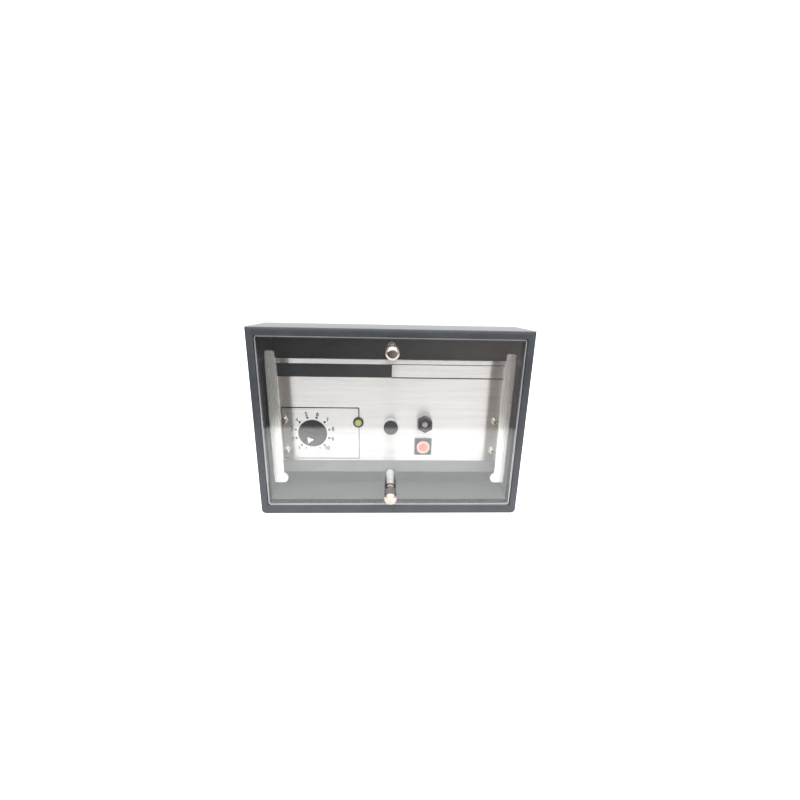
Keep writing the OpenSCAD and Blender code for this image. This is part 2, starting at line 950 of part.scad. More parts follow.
module transformer_core() {
    leg = core.x / 4;
    color(steel_grey)
        translate([board_x(core_at.x), core_at.y, board_z + core.z / 2])
            difference() {
                cube(core, center = true);
                for (x = [-1, 1])
                    translate([x * (leg / 2 + core_window.x / 2 + coil_gap), 0, 0])
                        cube([core_window.x, core.y + 2 * cut, core_window.y], center = true);
            }
}

module transformer_coil() {
    leg = core.x / 4 + 4 * coil_gap;
    wide = core.x / 4 + 2 * core_window.x - coil_gap;
    tall = core_window.y - 2 * coil_gap;
    color(coil_copper)
        translate([board_x(core_at.x), core_at.y, board_z + core.z / 2])
            difference() {
                cube([wide, core.y + 2 * coil_over, tall], center = true);
                cube([leg, core.y + 2 * coil_side, tall + 2 * cut], center = true);
            }
}

module output_relay() {
    color(clear_plastic)
        translate([board_x(relay_at.x), relay_at.y, board_z]) {
            translate([-relay_size.x / 2, -relay_size.y / 2, 0])
                cube(relay_size);
            translate([-relay_size.x / 2 - relay_lip.x, -relay_size.y / 2 - relay_lip.x, 0])
                cube([relay_size.x + 2 * relay_lip.x, relay_size.y + 2 * relay_lip.x, relay_lip.y]);
        }
}

module electrolytic_capacitors() {
    r = can_d / 2;
    color(blue_sleeve)
        for (p = can_spots)
            translate([board_x(p.x), p.y, board_z])
                rotate_extrude()
                    polygon([[0, 0], [r, 0], [r, can_groove.z], [r - can_groove.x, can_groove.z],
                        [r - can_groove.x, can_groove.z + can_groove.y],
                        [r, can_groove.z + can_groove.y], [r, can_h], [0, can_h]]);
}

module film_capacitors() {
    color(tan_film)
        for (p = film_spots)
            translate([board_x(p.x) - film_size.x / 2, p.y - film_size.y / 2, board_z])
                cube(film_size);
}

module resistors() {
    color(tan_film)
        for (p = resistor_spots)
            translate([board_x(p.x), p.y, board_z + resistor_lift]) {
                translate([-resistor_len / 2, 0, 0])
                    rotate([0, 90, 0])
                        cylinder(d = resistor_d, h = resistor_len);
                translate([-resistor_span / 2, -resistor_wire / 2, -resistor_wire / 2])
                    cube([resistor_span, resistor_wire, resistor_wire]);
                for (x = [-resistor_span / 2, resistor_span / 2 - resistor_wire])
                    translate([x, -resistor_wire / 2, -resistor_lift])
                        cube([resistor_wire, resistor_wire, resistor_lift]);
            }
}

module integrated_circuits() {
    color(black_moulding)
        for (p = ic_spots)
            translate([board_x(p.x), p.y, board_z]) {
                translate([-ic_size.x / 2, -ic_size.y / 2, ic_lift])
                    cube(ic_size);
                for (side = [-1, 1], i = [0 : ic_pins - 1])
                    translate([side * ic_size.x / 2 - ic_pin.x / 2,
                            (i - (ic_pins - 1) / 2) * ic_pitch - ic_pin.y / 2, 0])
                        cube(ic_pin);
            }
}

module potentiometer() {
    color(steel_grey)
        translate([dial_x, 0, dial_z])
            difference() {
                union() {
                    box([-pot_flange / 2, plate_back, -pot_d / 2],
                        [pot_flange / 2, plate_back + pot_flange_t, pot_flange / 2]);
                    rod(pot_d, plate_back + pot_flange_t / 2, pot_end);
                    for (i = [-1, 0, 1])
                        translate([i * lug_step - lug.x / 2, pot_end - cut, 0])
                            cube(lug);
                }
                rod(shaft_d + 2 * run, plate_back - cut, shaft_end + free);
            }
}

module lamp_holder() {
    color(black_moulding)
        translate([lamp_x, 0, lamp_z])
            difference() {
                union() {
                    rod(lamp_ring, panel_y - lamp_ring_t, panel_y);
                    rod(lamp_barrel, panel_y - lamp_ring_t, lamp_back);
                }
                rod(lamp_d + 2 * press, panel_y - lamp_ring_t - cut, lamp_back + cut);
            }
}

module lamp_lens() {
    color(lamp_green)
        translate([lamp_x, 0, lamp_z]) {
            rod(lamp_d, lamp_base, lamp_back);
            translate([0, lamp_base, 0])
                rotate([90, 0, 0])
                    rotate_extrude()
                        intersection() {
                            circle(d = lamp_d);
                            square(lamp_d);
                        }
        }
}

module lamp_leads() {
    color(bright_metal)
        for (x = [-1, 1])
            translate([lamp_x + x * lead_step - lead_w / 2, lamp_back, lamp_z - lead_w / 2])
                cube([lead_w, lead_len, lead_w]);
}

module reset_bushing() {
    color(bright_metal)
        translate([0, 0, reset_z])
            difference() {
                union() {
                    rod(reset_ring_d, panel_y - reset_ring_t, panel_y);
                    rod(bushing_d, panel_y - reset_ring_t, plate_back);
                }
                rod(stem_bore, panel_y - reset_ring_t - cut, plate_back + cut);
            }
}

module switch_body() {
    difference() {
        box([-switch_w / 2, plate_back, -switch_w / 2], [switch_w / 2, switch_end, switch_w / 2]);
        rod(switch_bore, plate_back - cut, switch_bore_end);
    }
    for (x = [-1, 1])
        translate([x * lug_step - lug.x / 2, switch_end - cut, 0])
            cube(lug);
}

module reset_switch() {
    color(black_moulding)
        translate([0, 0, reset_z])
            switch_body();
}

module trip_guard() {
    color(black_moulding)
        translate([guard_x, 0, guard_z])
            difference() {
                union() {
                    translate([0, panel_y, 0])
                        rotate([90, 30, 0])
                            cylinder(d = guard_af / cos(30), h = guard_t, $fn = 6);
                    rod(bushing_d, panel_y - cut, plate_back);
                }
                rod(guard_bore, guard_y - cut, guard_floor);
                rod(stem_bore, guard_floor - cut, plate_back + cut);
            }
}

module trip_switch() {
    color(black_moulding)
        translate([guard_x, 0, guard_z])
            switch_body();
}

// Direction of the target's pivot: the diagonal from lower left to upper right
module on_diagonal() {
    translate([target_x, target_front, target_z])
        rotate([0, -45, 0])
            children();
}

module target_housing() {
    half = target_w / 2;
    color(black_moulding)
        difference() {
            union() {
                translate([target_x, 0, target_z])
                    box([-half, target_front, -half], [half, target_back, half]);
                on_diagonal()
                    for (x = [-1, 1])
                        translate([x * target_post_at, 0, 0])
                            rod(target_post_d, -target_post_t, cut);
            }
            on_diagonal() {
                sphere(r = target_hollow);
                translate([-target_pin_len / 2 - free, 0, 0])
                    rotate([0, 90, 0])
                        cylinder(d = target_pin_d + 2 * run, h = target_pin_len + 2 * free);
            }
        }
}

module target_coil() {
    color(coil_copper)
        translate([target_x, 0, target_z]) {
            rod(coil_d, target_back, coil_end);
            rod(coil_rim, target_back, target_back + coil_rim_t);
            rod(coil_rim, coil_end - coil_rim_t, coil_end);
        }
}

module clear_cover() {
    color(clear_plastic)
        difference() {
            translate([0, 0, cavity_z])
                along_y(cover_y, cover_back)
                    plate_2d(cavity_w - 2 * cover_gap, cavity_h - 2 * cover_gap, cavity_r);
            for (z = [screw_top_z, screw_low_z])
                translate([0, 0, z])
                    rod(eyelet_d + 2 * press, cover_y - cut, cover_back + cut);
        }
}

module cover_eyelets() {
    color(bright_metal)
        for (z = [screw_top_z, screw_low_z])
            translate([0, 0, z])
                difference() {
                    union() {
                        rod(eyelet_rim, cover_y - eyelet_t, cover_y);
                        rod(eyelet_d, cover_y - eyelet_t, cover_back + eyelet_t);
                        rod(eyelet_back, cover_back, cover_back + eyelet_t);
                    }
                    rod(eyelet_bore, cover_y - eyelet_t - cut, cover_back + eyelet_t + cut);
                }
}

module thumbscrew() {
    r = thumb_d / 2;
    shank_r = shank_d / 2;
    groove_r = clip_groove / 2;
    turned([[0, thumb_y], [r - thumb_edge, thumb_y], [r, thumb_y + thumb_edge],
        [r, thumb_back - thumb_edge], [r - thumb_edge, thumb_back], [shank_r, thumb_back],
        [shank_r, clip_y - run], [groove_r, clip_y - run], [groove_r, clip_y + clip_t + run],
        [shank_r, clip_y + clip_t + run], [shank_r, shank_end - tip_edge],
        [shank_r - tip_edge, shank_end], [0, shank_end]]);
}

module clip() {
    difference() {
        rod(clip_d, clip_y, clip_y + clip_t);
        rod(clip_groove + 2 * press, clip_y - cut, clip_y + clip_t + cut);
        box([-clip_gap / 2, clip_y - cut, -clip_d], [clip_gap / 2, clip_y + clip_t + cut, 0]);
    }
}

module thumbscrew_top() {
    color(bright_metal)
        translate([0, 0, screw_top_z])
            thumbscrew();
}

module clip_top() {
    color(steel_grey)
        translate([0, 0, screw_top_z])
            clip();
}

module thumbscrew_bottom() {
    color(bright_metal)
        translate([0, 0, screw_low_z])
            thumbscrew();
}

module clip_bottom() {
    color(steel_grey)
        translate([0, 0, screw_low_z])
            clip();
}

// The dial's own drawing plane, turned so that its up is the pointer's direction
module at_dial() {
    translate([dial_x, 0, dial_z])
        rotate([0, -pointer_turn, 0])
            children();
}

// The pointer's triangle, grown by a gap all round
module pointer_2d(gap) {
    r = pointer_side / sqrt(3) + 2 * gap;
    translate([0, pointer_at])
        polygon([[0, r], [r * cos(30), -r / 2], [-r * cos(30), -r / 2]]);
}

module dial_disc() {
    r = dial_d / 2;
    color(black_moulding)
        at_dial()
            difference() {
                turned([[0, dial_face], [r - dial_edge, dial_face], [r, dial_face + dial_edge],
                    [r, dial_back], [0, dial_back]]);
                box([-dial_slot.x / 2, dial_face - cut, -dial_slot.y / 2],
                    [dial_slot.x / 2, dial_face + dial_slot.z, dial_slot.y / 2]);
                along_y(dial_face - cut, dial_face + pointer_t)
                    pointer_2d(press);
                rod(shaft_d + 2 * press, shaft_y, dial_back + cut);
            }
}

module dial_pointer() {
    color(white_paint)
        at_dial()
            along_y(dial_face, dial_face + pointer_t)
                pointer_2d(0);
}

module dial_shaft() {
    color(bright_metal)
        translate([dial_x, 0, dial_z])
            rod(shaft_d, shaft_y, shaft_end);
}

module reset_button() {
    r = reset_d / 2;
    cap_back = reset_cap_y + reset_cap_t;
    color(black_moulding)
        translate([0, 0, reset_z])
            turned([[0, reset_cap_y], [r - reset_edge, reset_cap_y],
                [r, reset_cap_y + reset_edge], [r, cap_back], [stem_d / 2, cap_back],
                [stem_d / 2, stem_end], [0, stem_end]]);
}

module trip_button() {
    color(steel_grey)
        translate([guard_x, 0, guard_z])
            rod(stem_d, plunger_y, stem_end);
}

module target_disc() {
    color(red_paint)
        on_diagonal()
            difference() {
                rod(target_d, -target_disc_t / 2, target_disc_t / 2);
                translate([-target_pin_len / 2, 0, 0])
                    rotate([0, 90, 0])
                        cylinder(d = target_pin_d + 2 * press, h = target_pin_len);
            }
}

module target_pin() {
    color(steel_grey)
        on_diagonal()
            translate([-target_pin_len / 2, 0, 0])
                rotate([0, 90, 0])
                    cylinder(d = target_pin_d, h = target_pin_len);
}

bezel();
cover_gasket();
mounting_studs();
case_shell();
case_screws();
terminal_block_upper();
terminal_block_lower();
terminal_plates_upper();
terminal_plates_lower();
terminal_screws_upper();
terminal_screws_lower();
earth_screw();
card_guide_left();
card_guide_right();
edge_connector();
chassis_plate();
dial_panel();
panel_screws();
handle_left();
handle_right();
standoff_top();
standoff_bottom();
circuit_board();
edge_contacts();
board_brackets();
bracket_screws();
board_screws();
transformer_core();
transformer_coil();
output_relay();
electrolytic_capacitors();
film_capacitors();
resistors();
integrated_circuits();
potentiometer();
lamp_holder();
lamp_lens();
lamp_leads();
reset_bushing();
reset_switch();
trip_guard();
trip_switch();
target_housing();
target_coil();
clear_cover();
cover_eyelets();
thumbscrew_top();
clip_top();
thumbscrew_bottom();
clip_bottom();
dial_disc();
dial_pointer();
dial_shaft();
reset_button();
trip_button();
target_disc();
target_pin();
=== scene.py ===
# %% [markdown]
# # A drawout protection relay
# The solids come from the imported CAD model. This lesson dresses them: it gives every solid a
# finish, swaps a few turned and moulded pieces for finer surfaces worked out with numpy, prints
# the scale on the panel and lights the whole like a product photograph. All lengths below are
# written in millimetres and turned into metres by one factor.

# %% Load the frame
import json
import math

import bmesh
import bpy
import numpy as np
from mathutils import Matrix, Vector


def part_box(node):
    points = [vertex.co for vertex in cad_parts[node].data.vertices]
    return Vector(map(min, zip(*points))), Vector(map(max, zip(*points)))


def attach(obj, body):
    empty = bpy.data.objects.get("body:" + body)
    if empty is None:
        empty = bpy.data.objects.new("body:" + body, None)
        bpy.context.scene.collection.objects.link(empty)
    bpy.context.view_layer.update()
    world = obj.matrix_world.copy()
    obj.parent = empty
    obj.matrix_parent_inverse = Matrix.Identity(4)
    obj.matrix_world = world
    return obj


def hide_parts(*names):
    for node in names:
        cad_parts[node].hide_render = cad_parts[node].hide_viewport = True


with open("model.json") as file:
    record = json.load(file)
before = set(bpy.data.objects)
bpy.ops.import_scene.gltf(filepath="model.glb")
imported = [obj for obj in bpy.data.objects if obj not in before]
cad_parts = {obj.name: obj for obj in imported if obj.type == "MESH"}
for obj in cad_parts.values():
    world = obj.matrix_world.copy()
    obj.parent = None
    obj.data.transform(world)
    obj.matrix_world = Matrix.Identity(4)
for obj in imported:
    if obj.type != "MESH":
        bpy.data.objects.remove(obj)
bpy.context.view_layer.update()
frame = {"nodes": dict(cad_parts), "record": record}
MM = 0.001
nodes = frame["nodes"]

# %% [markdown]
# The depth planes of the relay repeat the CAD model's own, so that every new surface lies exactly
# on what carries it. Where a node's box shows a plane, it is read from there. Depth zero is the
# face of the switchboard, where the bezel's back lies.

# %% Depth planes
def edges_of(node):
    """Lowest and highest corner of a CAD node, in millimetres."""
    low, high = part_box(node)
    return np.array(low) / MM, np.array(high) / MM


bezel_low, bezel_high = edges_of("bezel")
panel_low, panel_high = edges_of("dial_panel")
cover_low, cover_high = edges_of("clear_cover")
FACE_Y = bezel_low[1]
PANEL_Y = panel_low[1]
MOUNT_Y = 0.0
print("bezel face", FACE_Y, "panel face", PANEL_Y, "cover", cover_low[1], cover_high[1])

# %% [markdown]
# The photograph looks slightly down on the relay from close by, through a wide lens. Where the
# bezel's four corners fall in the picture fixes the camera: its place, its three axes and its
# focal length. A camera matrix takes the right, up and backward directions as columns.

# %% Camera
CAMERA_AT = (-3.2, FACE_Y - 209.0, 77.2)
CAMERA_RIGHT = (0.9992, -0.0341, 0.0198)
CAMERA_UP = (-0.0100, 0.2717, 0.9623)
FOCAL_PIXELS = 355.0
IMAGE_PIXELS = 800.0
SENSOR = 36.0
CLIP_START = 5.0


def new_object(name, data):
    """A new object in the scene for a mesh, a light or a camera."""
    made = bpy.data.objects.new(name, data)
    bpy.context.collection.objects.link(made)
    return made


def placed(right, up, backward, at):
    """A matrix whose columns are three directions and a place, given in millimetres."""
    matrix = np.eye(4)
    matrix[:3, :3] = np.transpose([right, up, backward])
    matrix[:3, 3] = np.array(at) * MM
    return Matrix(matrix.tolist())


right = np.array(CAMERA_RIGHT) / np.linalg.norm(CAMERA_RIGHT)
up = np.array(CAMERA_UP) - right * np.dot(CAMERA_UP, right)
up = up / np.linalg.norm(up)
backward = np.cross(right, up)
camera_data = bpy.data.cameras.new("camera")
camera_data.sensor_width = SENSOR
camera_data.lens = SENSOR * FOCAL_PIXELS / IMAGE_PIXELS
camera_data.clip_start = CLIP_START * MM
camera = new_object("camera", camera_data)
camera.matrix_world = placed(right, up, backward, CAMERA_AT)
bpy.context.scene.camera = camera
print("lens", round(camera_data.lens, 2), "mm at", CAMERA_AT)

# %% [markdown]
# Colours and glows are small trees of shader nodes. Blender adds a node, sets its sockets and links
# it in three separate steps, which soon gets long, so a few helpers do all three at once. Some of
# them take either a plain value or the output of another node. A mix node keeps its two colours and
# its mixed colour among other sockets, so they are named by number.

# %% Node helpers
MIX_COLOURS, MIX_RESULT = slice(6, 8), 2


def add(tree, kind, **sockets):
    """A new shader node of a kind with some of its sockets set; _ stands for a space."""
    node = tree.nodes.new("ShaderNode" + kind)
    for socket, value in sockets.items():
        node.inputs[socket.replace("_", " ")].default_value = value
    return node


def feed(tree, value, socket):
    """Links another node's output to a socket, or sets the socket itself to a plain value."""
    if isinstance(value, bpy.types.NodeSocket):
        tree.links.new(value, socket)
    else:
        socket.default_value = value


def calc(tree, operation, first, second):
    """One step of arithmetic on two values."""
    node = add(tree, "Math")
    node.operation = operation
    feed(tree, first, node.inputs[0])
    feed(tree, second, node.inputs[1])
    return node.outputs[0]


def map_range(tree, value, source, target=(0.0, 1.0)):
    """Carries a value from one range over to another and stops at the ends."""
    node = add(tree, "MapRange", From_Min=source[0], From_Max=source[1], To_Min=target[0],
               To_Max=target[1])
    tree.links.new(value, node.inputs["Value"])
    return node.outputs["Result"]


def blend(tree, share, first, second):
    """Mixes two colours by a share; each colour is a plain one or another node's output."""
    node = add(tree, "Mix")
    node.data_type = "RGBA"
    tree.links.new(share, node.inputs["Factor"])
    for socket, colour in zip(node.inputs[MIX_COLOURS], (first, second)):
        feed(tree, (*colour, 1) if isinstance(colour, tuple) else colour, socket)
    return node.outputs[MIX_RESULT]


def mix_shaders(tree, share, first, second):
    """Mixes two shaders by a share."""
    node = add(tree, "MixShader")
    for socket, source in zip(node.inputs, (share, first, second)):
        tree.links.new(source, socket)
    return node.outputs[0]


def axis_of(tree, source, axis):
    """One axis of a texture coordinate, such as the height in object coordinates."""
    coords = add(tree, "TexCoord")
    split = add(tree, "SeparateXYZ")
    tree.links.new(coords.outputs[source], split.inputs[0])
    return split.outputs[axis]


print("node helpers ready")

# %% [markdown]
# The relay stands on a white table against white. The table ends a little way in front of it, and
# low down beyond that edge lies a dim room, warmer to the right. The clear cover mirrors both: it
# is pale in its lower half and dark above. A white sky and two wide lights, one overhead and one
# high in front, do the rest. The table glows so that it stays white, and glows less in a strip
# along its front edge, so that its mirror image doesn't end in a hard line. The room is set by the
# direction of a ray: how far it points to the right, to the front and up.

# %% Table and light
WHITE = (1, 1, 1, 1)
FLOOR_Z = bezel_low[2]
FLOOR_FRONT = FACE_Y - 160.0
FLOOR_BACK = 1500.0
FLOOR_SIDE = 1500.0
FLOOR_TONE, FLOOR_ROUGHNESS = 0.2, 0.8
FLOOR_GLOW = 1.85
STRIP_GLOW, STRIP_WIDTH = 1.1, 45.0
BACKDROP_GLOW = 1.1
SKY_GLOW = 1.2
ROOM_LEFT = (0.20, 0.20, 0.205)
ROOM_RIGHT = (0.75, 0.66, 0.64)
ROOM_ACROSS = (-0.2, 0.5)
ROOM_AHEAD = (-0.7, -0.15)
ROOM_HEIGHT = (0.0, 0.2)


def stage_floor():
    """A flat rectangle under the relay, from the table's front edge to far behind. Its glow rises
    evenly from that edge over the width of the dimmer strip."""
    mesh = bpy.data.meshes.new("floor")
    corners = np.array([(-FLOOR_SIDE, FLOOR_FRONT, FLOOR_Z), (FLOOR_SIDE, FLOOR_FRONT, FLOOR_Z),
                        (FLOOR_SIDE, FLOOR_BACK, FLOOR_Z), (-FLOOR_SIDE, FLOOR_BACK, FLOOR_Z)])
    mesh.from_pydata((corners * MM).tolist(), [], [(0, 1, 2, 3)])
    floor = new_object("floor", mesh)
    paper = bpy.data.materials.new("white_table")
    paper.use_nodes = True
    tree = paper.node_tree
    shader = tree.nodes["Principled BSDF"]
    shader.inputs["Base Color"].default_value = (FLOOR_TONE, FLOOR_TONE, FLOOR_TONE, 1)
    shader.inputs["Roughness"].default_value = FLOOR_ROUGHNESS
    shader.inputs["Emission Color"].default_value = WHITE
    strip = FLOOR_FRONT * MM, (FLOOR_FRONT + STRIP_WIDTH) * MM
    glow = map_range(tree, axis_of(tree, "Object", "Y"), strip, (STRIP_GLOW, FLOOR_GLOW))
    tree.links.new(glow, shader.inputs["Emission Strength"])
    mesh.materials.append(paper)


def studio_world():
    """White to the camera. To other rays: a white sky, and a dim room low down in front."""
    world = bpy.data.worlds.new("studio")
    world.use_nodes = True
    bpy.context.scene.world = world
    tree = world.node_tree
    tree.nodes.clear()
    across, ahead, height = (axis_of(tree, "Generated", axis) for axis in "XYZ")
    room = blend(tree, map_range(tree, across, ROOM_ACROSS), ROOM_LEFT, ROOM_RIGHT)
    sky_share = calc(tree, "MAXIMUM", map_range(tree, ahead, ROOM_AHEAD),
                     map_range(tree, height, ROOM_HEIGHT))
    sky = add(tree, "Background")
    tree.links.new(blend(tree, sky_share, room, (SKY_GLOW,) * 3), sky.inputs["Color"])
    plain = add(tree, "Background", Color=WHITE, Strength=BACKDROP_GLOW)
    seen = add(tree, "LightPath").outputs["Is Camera Ray"]
    output = add(tree, "OutputWorld")
    tree.links.new(mix_shaders(tree, seen, sky.outputs[0], plain.outputs[0]), output.inputs[0])


def soft_light(name, at, size, power, aim):
    """A wide area light at a point, turned to face another point."""
    data = bpy.data.lights.new(name, "AREA")
    data.shape = "RECTANGLE"
    data.size, data.size_y = size[0] * MM, size[1] * MM
    data.energy = power
    way = np.array(aim) - np.array(at)
    backward = -way / np.linalg.norm(way)
    right = np.cross((0, 1, 0), backward)
    right = right / np.linalg.norm(right)
    new_object(name, data).matrix_world = placed(right, np.cross(backward, right), backward, at)


stage_floor()
studio_world()
soft_light("overhead", at=(0, 0, 700), size=(1300, 1100), power=9, aim=(0, 0, 0))
soft_light("fill", at=(0, -900, 520), size=(1500, 800), power=13, aim=(0, -20, 400))
bpy.context.scene.view_settings.view_transform = "Standard"
print("table edge", FLOOR_FRONT, "height", FLOOR_Z)

# %% [markdown]
# Finishes are built from a few repeated steps: object coordinates, a noise that breaks up colour
# and gloss, and a bump from the same noise. One helper makes most of them, because the real
# finishes differ only in their scale, their stretch and their contrast.

# %% Finish helper
NOISE_RANGE = (0.3, 0.7)


def new_finish(name):
    """A new node material, its tree and its shader."""
    material = bpy.data.materials.new(name)
    material.use_nodes = True
    return material, material.node_tree, material.node_tree.nodes["Principled BSDF"]


def object_noise(tree, stretch, detail=4.0, roughness=0.6):
    """Noise over object coordinates; stretch counts cells per millimetre along X, Y and Z."""
    coords = add(tree, "TexCoord")
    mapping = add(tree, "Mapping", Scale=[s / MM for s in stretch])
    noise = add(tree, "TexNoise", Scale=1.0, Detail=detail, Roughness=roughness)
    tree.links.new(coords.outputs["Object"], mapping.inputs["Vector"])
    tree.links.new(mapping.outputs["Vector"], noise.inputs["Vector"])
    return noise.outputs["Fac"]


def spread(tree, value, low, high):
    """Carries a noise value, mostly 0.3 to 0.7, over to the range low to high."""
    return map_range(tree, value, NOISE_RANGE, (low, high))


def two_tones(tree, value, dark, light):
    """Blends two colours by a noise value."""
    ramp = add(tree, "ValToRGB")
    for element, position, colour in zip(ramp.color_ramp.elements, NOISE_RANGE, (dark, light)):
        element.position = position
        element.color = (*colour, 1)
    tree.links.new(value, ramp.inputs["Fac"])
    return ramp.outputs["Color"]


def roughen(tree, shader, height, strength, depth):
    """Bumps a surface by a height value, which counts up to a depth in millimetres."""
    bump = add(tree, "Bump", Strength=strength, Distance=depth * MM)
    tree.links.new(height, bump.inputs["Height"])
    tree.links.new(bump.outputs["Normal"], shader.inputs["Normal"])


def finish(name, dark, light, rough, metal=0.0, grain=(2, 2, 2), mottle=(0.08, 0.08, 0.08),
           bump=0.1, depth=0.02, specular=0.5):
    """Colour drifts between two tones over a coarse noise; gloss and bump follow a fine grain."""
    material, tree, shader = new_finish(name)
    coarse = object_noise(tree, mottle)
    fine = object_noise(tree, grain)
    tree.links.new(two_tones(tree, coarse, dark, light), shader.inputs["Base Color"])
    tree.links.new(spread(tree, fine, *rough), shader.inputs["Roughness"])
    roughen(tree, shader, fine, bump, depth)
    shader.inputs["Metallic"].default_value = metal
    shader.inputs["Specular IOR Level"].default_value = specular
    return material


print("finish helper ready")

# %% [markdown]
# Most pieces wear a plain finish. Moulded phenolic is a dark grey with a fine even grain; enamel
# on sheet steel is smoother with a slight orange peel; plated metal is bright with faint drawing
# marks along the piece.

# %% Plain finishes
DULL = 0.2
FINISHES = {
    "bezel_moulding": finish("bezel_moulding", (0.014, 0.017, 0.021), (0.023, 0.027, 0.034),
                             (0.5, 0.62), grain=(3, 3, 3), bump=0.25, depth=0.03),
    "gasket_rubber": finish("gasket_rubber", (0.018, 0.018, 0.018), (0.03, 0.03, 0.03),
                            (0.7, 0.85), grain=(4, 4, 4), bump=0.2),
    "zinc_steel": finish("zinc_steel", (0.55, 0.55, 0.56), (0.7, 0.69, 0.66), (0.28, 0.42),
                         metal=1.0, grain=(4, 0.5, 4), mottle=(0.3, 0.3, 0.3), bump=0.05),
    "black_steel": finish("black_steel", (0.012, 0.012, 0.013), (0.022, 0.022, 0.024),
                          (0.2, 0.3), grain=(0.9, 0.9, 0.9), bump=0.06, specular=DULL),
    "terminal_moulding": finish("terminal_moulding", (0.014, 0.014, 0.014), (0.026, 0.026, 0.027),
                                (0.42, 0.55), grain=(2.5, 2.5, 2.5), bump=0.2),
    "brass_plate": finish("brass_plate", (0.55, 0.42, 0.2), (0.7, 0.58, 0.33), (0.25, 0.4),
                          metal=1.0, grain=(3, 3, 0.6), mottle=(0.4, 0.4, 0.4), bump=0.06),
    "nickel": finish("nickel", (0.39, 0.345, 0.31), (0.47, 0.42, 0.375), (0.07, 0.13), metal=1.0,
                     grain=(0.6, 5, 0.6), mottle=(0.25, 0.25, 0.25), bump=0.04),
    "bright_pillar": finish("bright_pillar", (0.72, 0.72, 0.71), (0.97, 0.97, 0.96), (0.3, 0.45),
                            metal=0.1, grain=(3, 0.6, 3), mottle=(0.7, 0.35, 0.7), bump=0.1),
    "inner_moulding": finish("inner_moulding", (0.02, 0.02, 0.022), (0.035, 0.035, 0.036),
                             (0.45, 0.6), grain=(3, 3, 3), bump=0.15),
    "core_steel": finish("core_steel", (0.10, 0.10, 0.11), (0.17, 0.16, 0.16), (0.35, 0.5),
                         metal=0.6, grain=(0.4, 3, 0.4), bump=0.4, depth=0.05),
    "coil_wrap": finish("coil_wrap", (0.36, 0.20, 0.05), (0.5, 0.31, 0.1), (0.25, 0.4),
                        grain=(0.4, 0.4, 2.2), bump=0.35, depth=0.08),
    "relay_case": finish("relay_case", (0.52, 0.55, 0.55), (0.64, 0.66, 0.66), (0.1, 0.2),
                         grain=(1, 1, 1), bump=0.03),
    "can_sleeve": finish("can_sleeve", (0.012, 0.03, 0.12), (0.02, 0.045, 0.16), (0.18, 0.3),
                         grain=(1, 1, 0.3), bump=0.08),
    "film_case": finish("film_case", (0.5, 0.2, 0.03), (0.62, 0.28, 0.05), (0.2, 0.32),
                        grain=(1.2, 1.2, 1.2), bump=0.15, depth=0.05),
    "pot_case": finish("pot_case", (0.5, 0.5, 0.5), (0.62, 0.61, 0.6), (0.25, 0.4), metal=1.0,
                       grain=(3, 0.6, 3), bump=0.05),
    "control_moulding": finish("control_moulding", (0.012, 0.012, 0.013), (0.02, 0.02, 0.022),
                               (0.3, 0.42), grain=(5, 5, 5), bump=0.12, specular=DULL),
    "pointer_white": finish("pointer_white", (0.74, 0.74, 0.73), (0.80, 0.80, 0.79), (0.4, 0.55),
                            grain=(5, 5, 5), bump=0.1),
    "plunger_grey": finish("plunger_grey", (0.30, 0.25, 0.25), (0.4, 0.34, 0.33), (0.35, 0.5),
                           grain=(5, 5, 5), bump=0.1),
    "pin_steel": finish("pin_steel", (0.5, 0.5, 0.52), (0.62, 0.62, 0.63), (0.2, 0.34), metal=1.0,
                        grain=(4, 4, 4), bump=0.05),
}
print("plain finishes", len(FINISHES))

# %% [markdown]
# The dial panel is aluminium sheet brushed from side to side, and the two handles are brushed from
# end to end. Grooves scatter light across themselves, so highlights smear at right angles to them.
# An anisotropic shader with its tangent across the grooves gives that smear, and long thin noise
# gives the separate hairlines.

# %% Brushed aluminium
BRUSH_BUMP, BRUSH_DEPTH = 0.16, 0.01


def brushed(name, hairline, patch, dark, light, rough, across, smear, metal):
    """Streaks in colour, gloss and bump from two stretched noises; highlights drawn out across."""
    material, tree, shader = new_finish(name)
    streak = object_noise(tree, hairline, detail=6.0)
    broad = object_noise(tree, patch, detail=3.0)
    tree.links.new(two_tones(tree, broad, dark, light), shader.inputs["Base Color"])
    tree.links.new(spread(tree, streak, *rough), shader.inputs["Roughness"])
    roughen(tree, shader, streak, BRUSH_BUMP, BRUSH_DEPTH)
    tangent = add(tree, "CombineXYZ", X=across[0], Y=across[1], Z=across[2])
    tree.links.new(tangent.outputs[0], shader.inputs["Tangent"])
    shader.inputs["Metallic"].default_value = metal
    shader.inputs["Anisotropic"].default_value = smear
    return material


FINISHES["panel_aluminium"] = brushed(
    "panel_aluminium", hairline=(0.02, 1.0, 7.0), patch=(0.015, 0.1, 0.35),
    dark=(0.60, 0.57, 0.557), light=(0.69, 0.658, 0.642), rough=(0.26, 0.35),
    across=(0, 0, 1), smear=1.0, metal=0.9)
FINISHES["handle_aluminium"] = brushed(
    "handle_aluminium", hairline=(4.0, 4.0, 0.03), patch=(1.2, 1.2, 0.03),
    dark=(0.69, 0.66, 0.63), light=(0.85, 0.815, 0.78), rough=(0.22, 0.32),
    across=(1, 0.3, 0), smear=0.9, metal=0.85)
print("panel brushed along X, handles along Z")

# %% [markdown]
# The bezel came out of a polished tool, so a thin skin on it mirrors the table at a low angle.
# Where it faces up it is paled: partly settled dust, partly a painted highlight of the light from
# above. A coat on the shader gives the one, and the surface's own normal finds the places for the
# other.

# %% Skin, dust and painted highlight on the bezel
SKIN_SPECULAR, SKIN_WEIGHT, SKIN_ROUGHNESS = 0.25, 0.6, 0.3
# Pale tone for faces that look up: partly dust, partly a painted highlight.
DUST_AND_HIGHLIGHT = (0.115, 0.12, 0.127)
PALE_TOP_GRAIN = (1.2, 1.2, 1.2)
PALE_TOP_SHARE = (0.65, 1.0)
PALE_TOP_SLOPE = 0.6


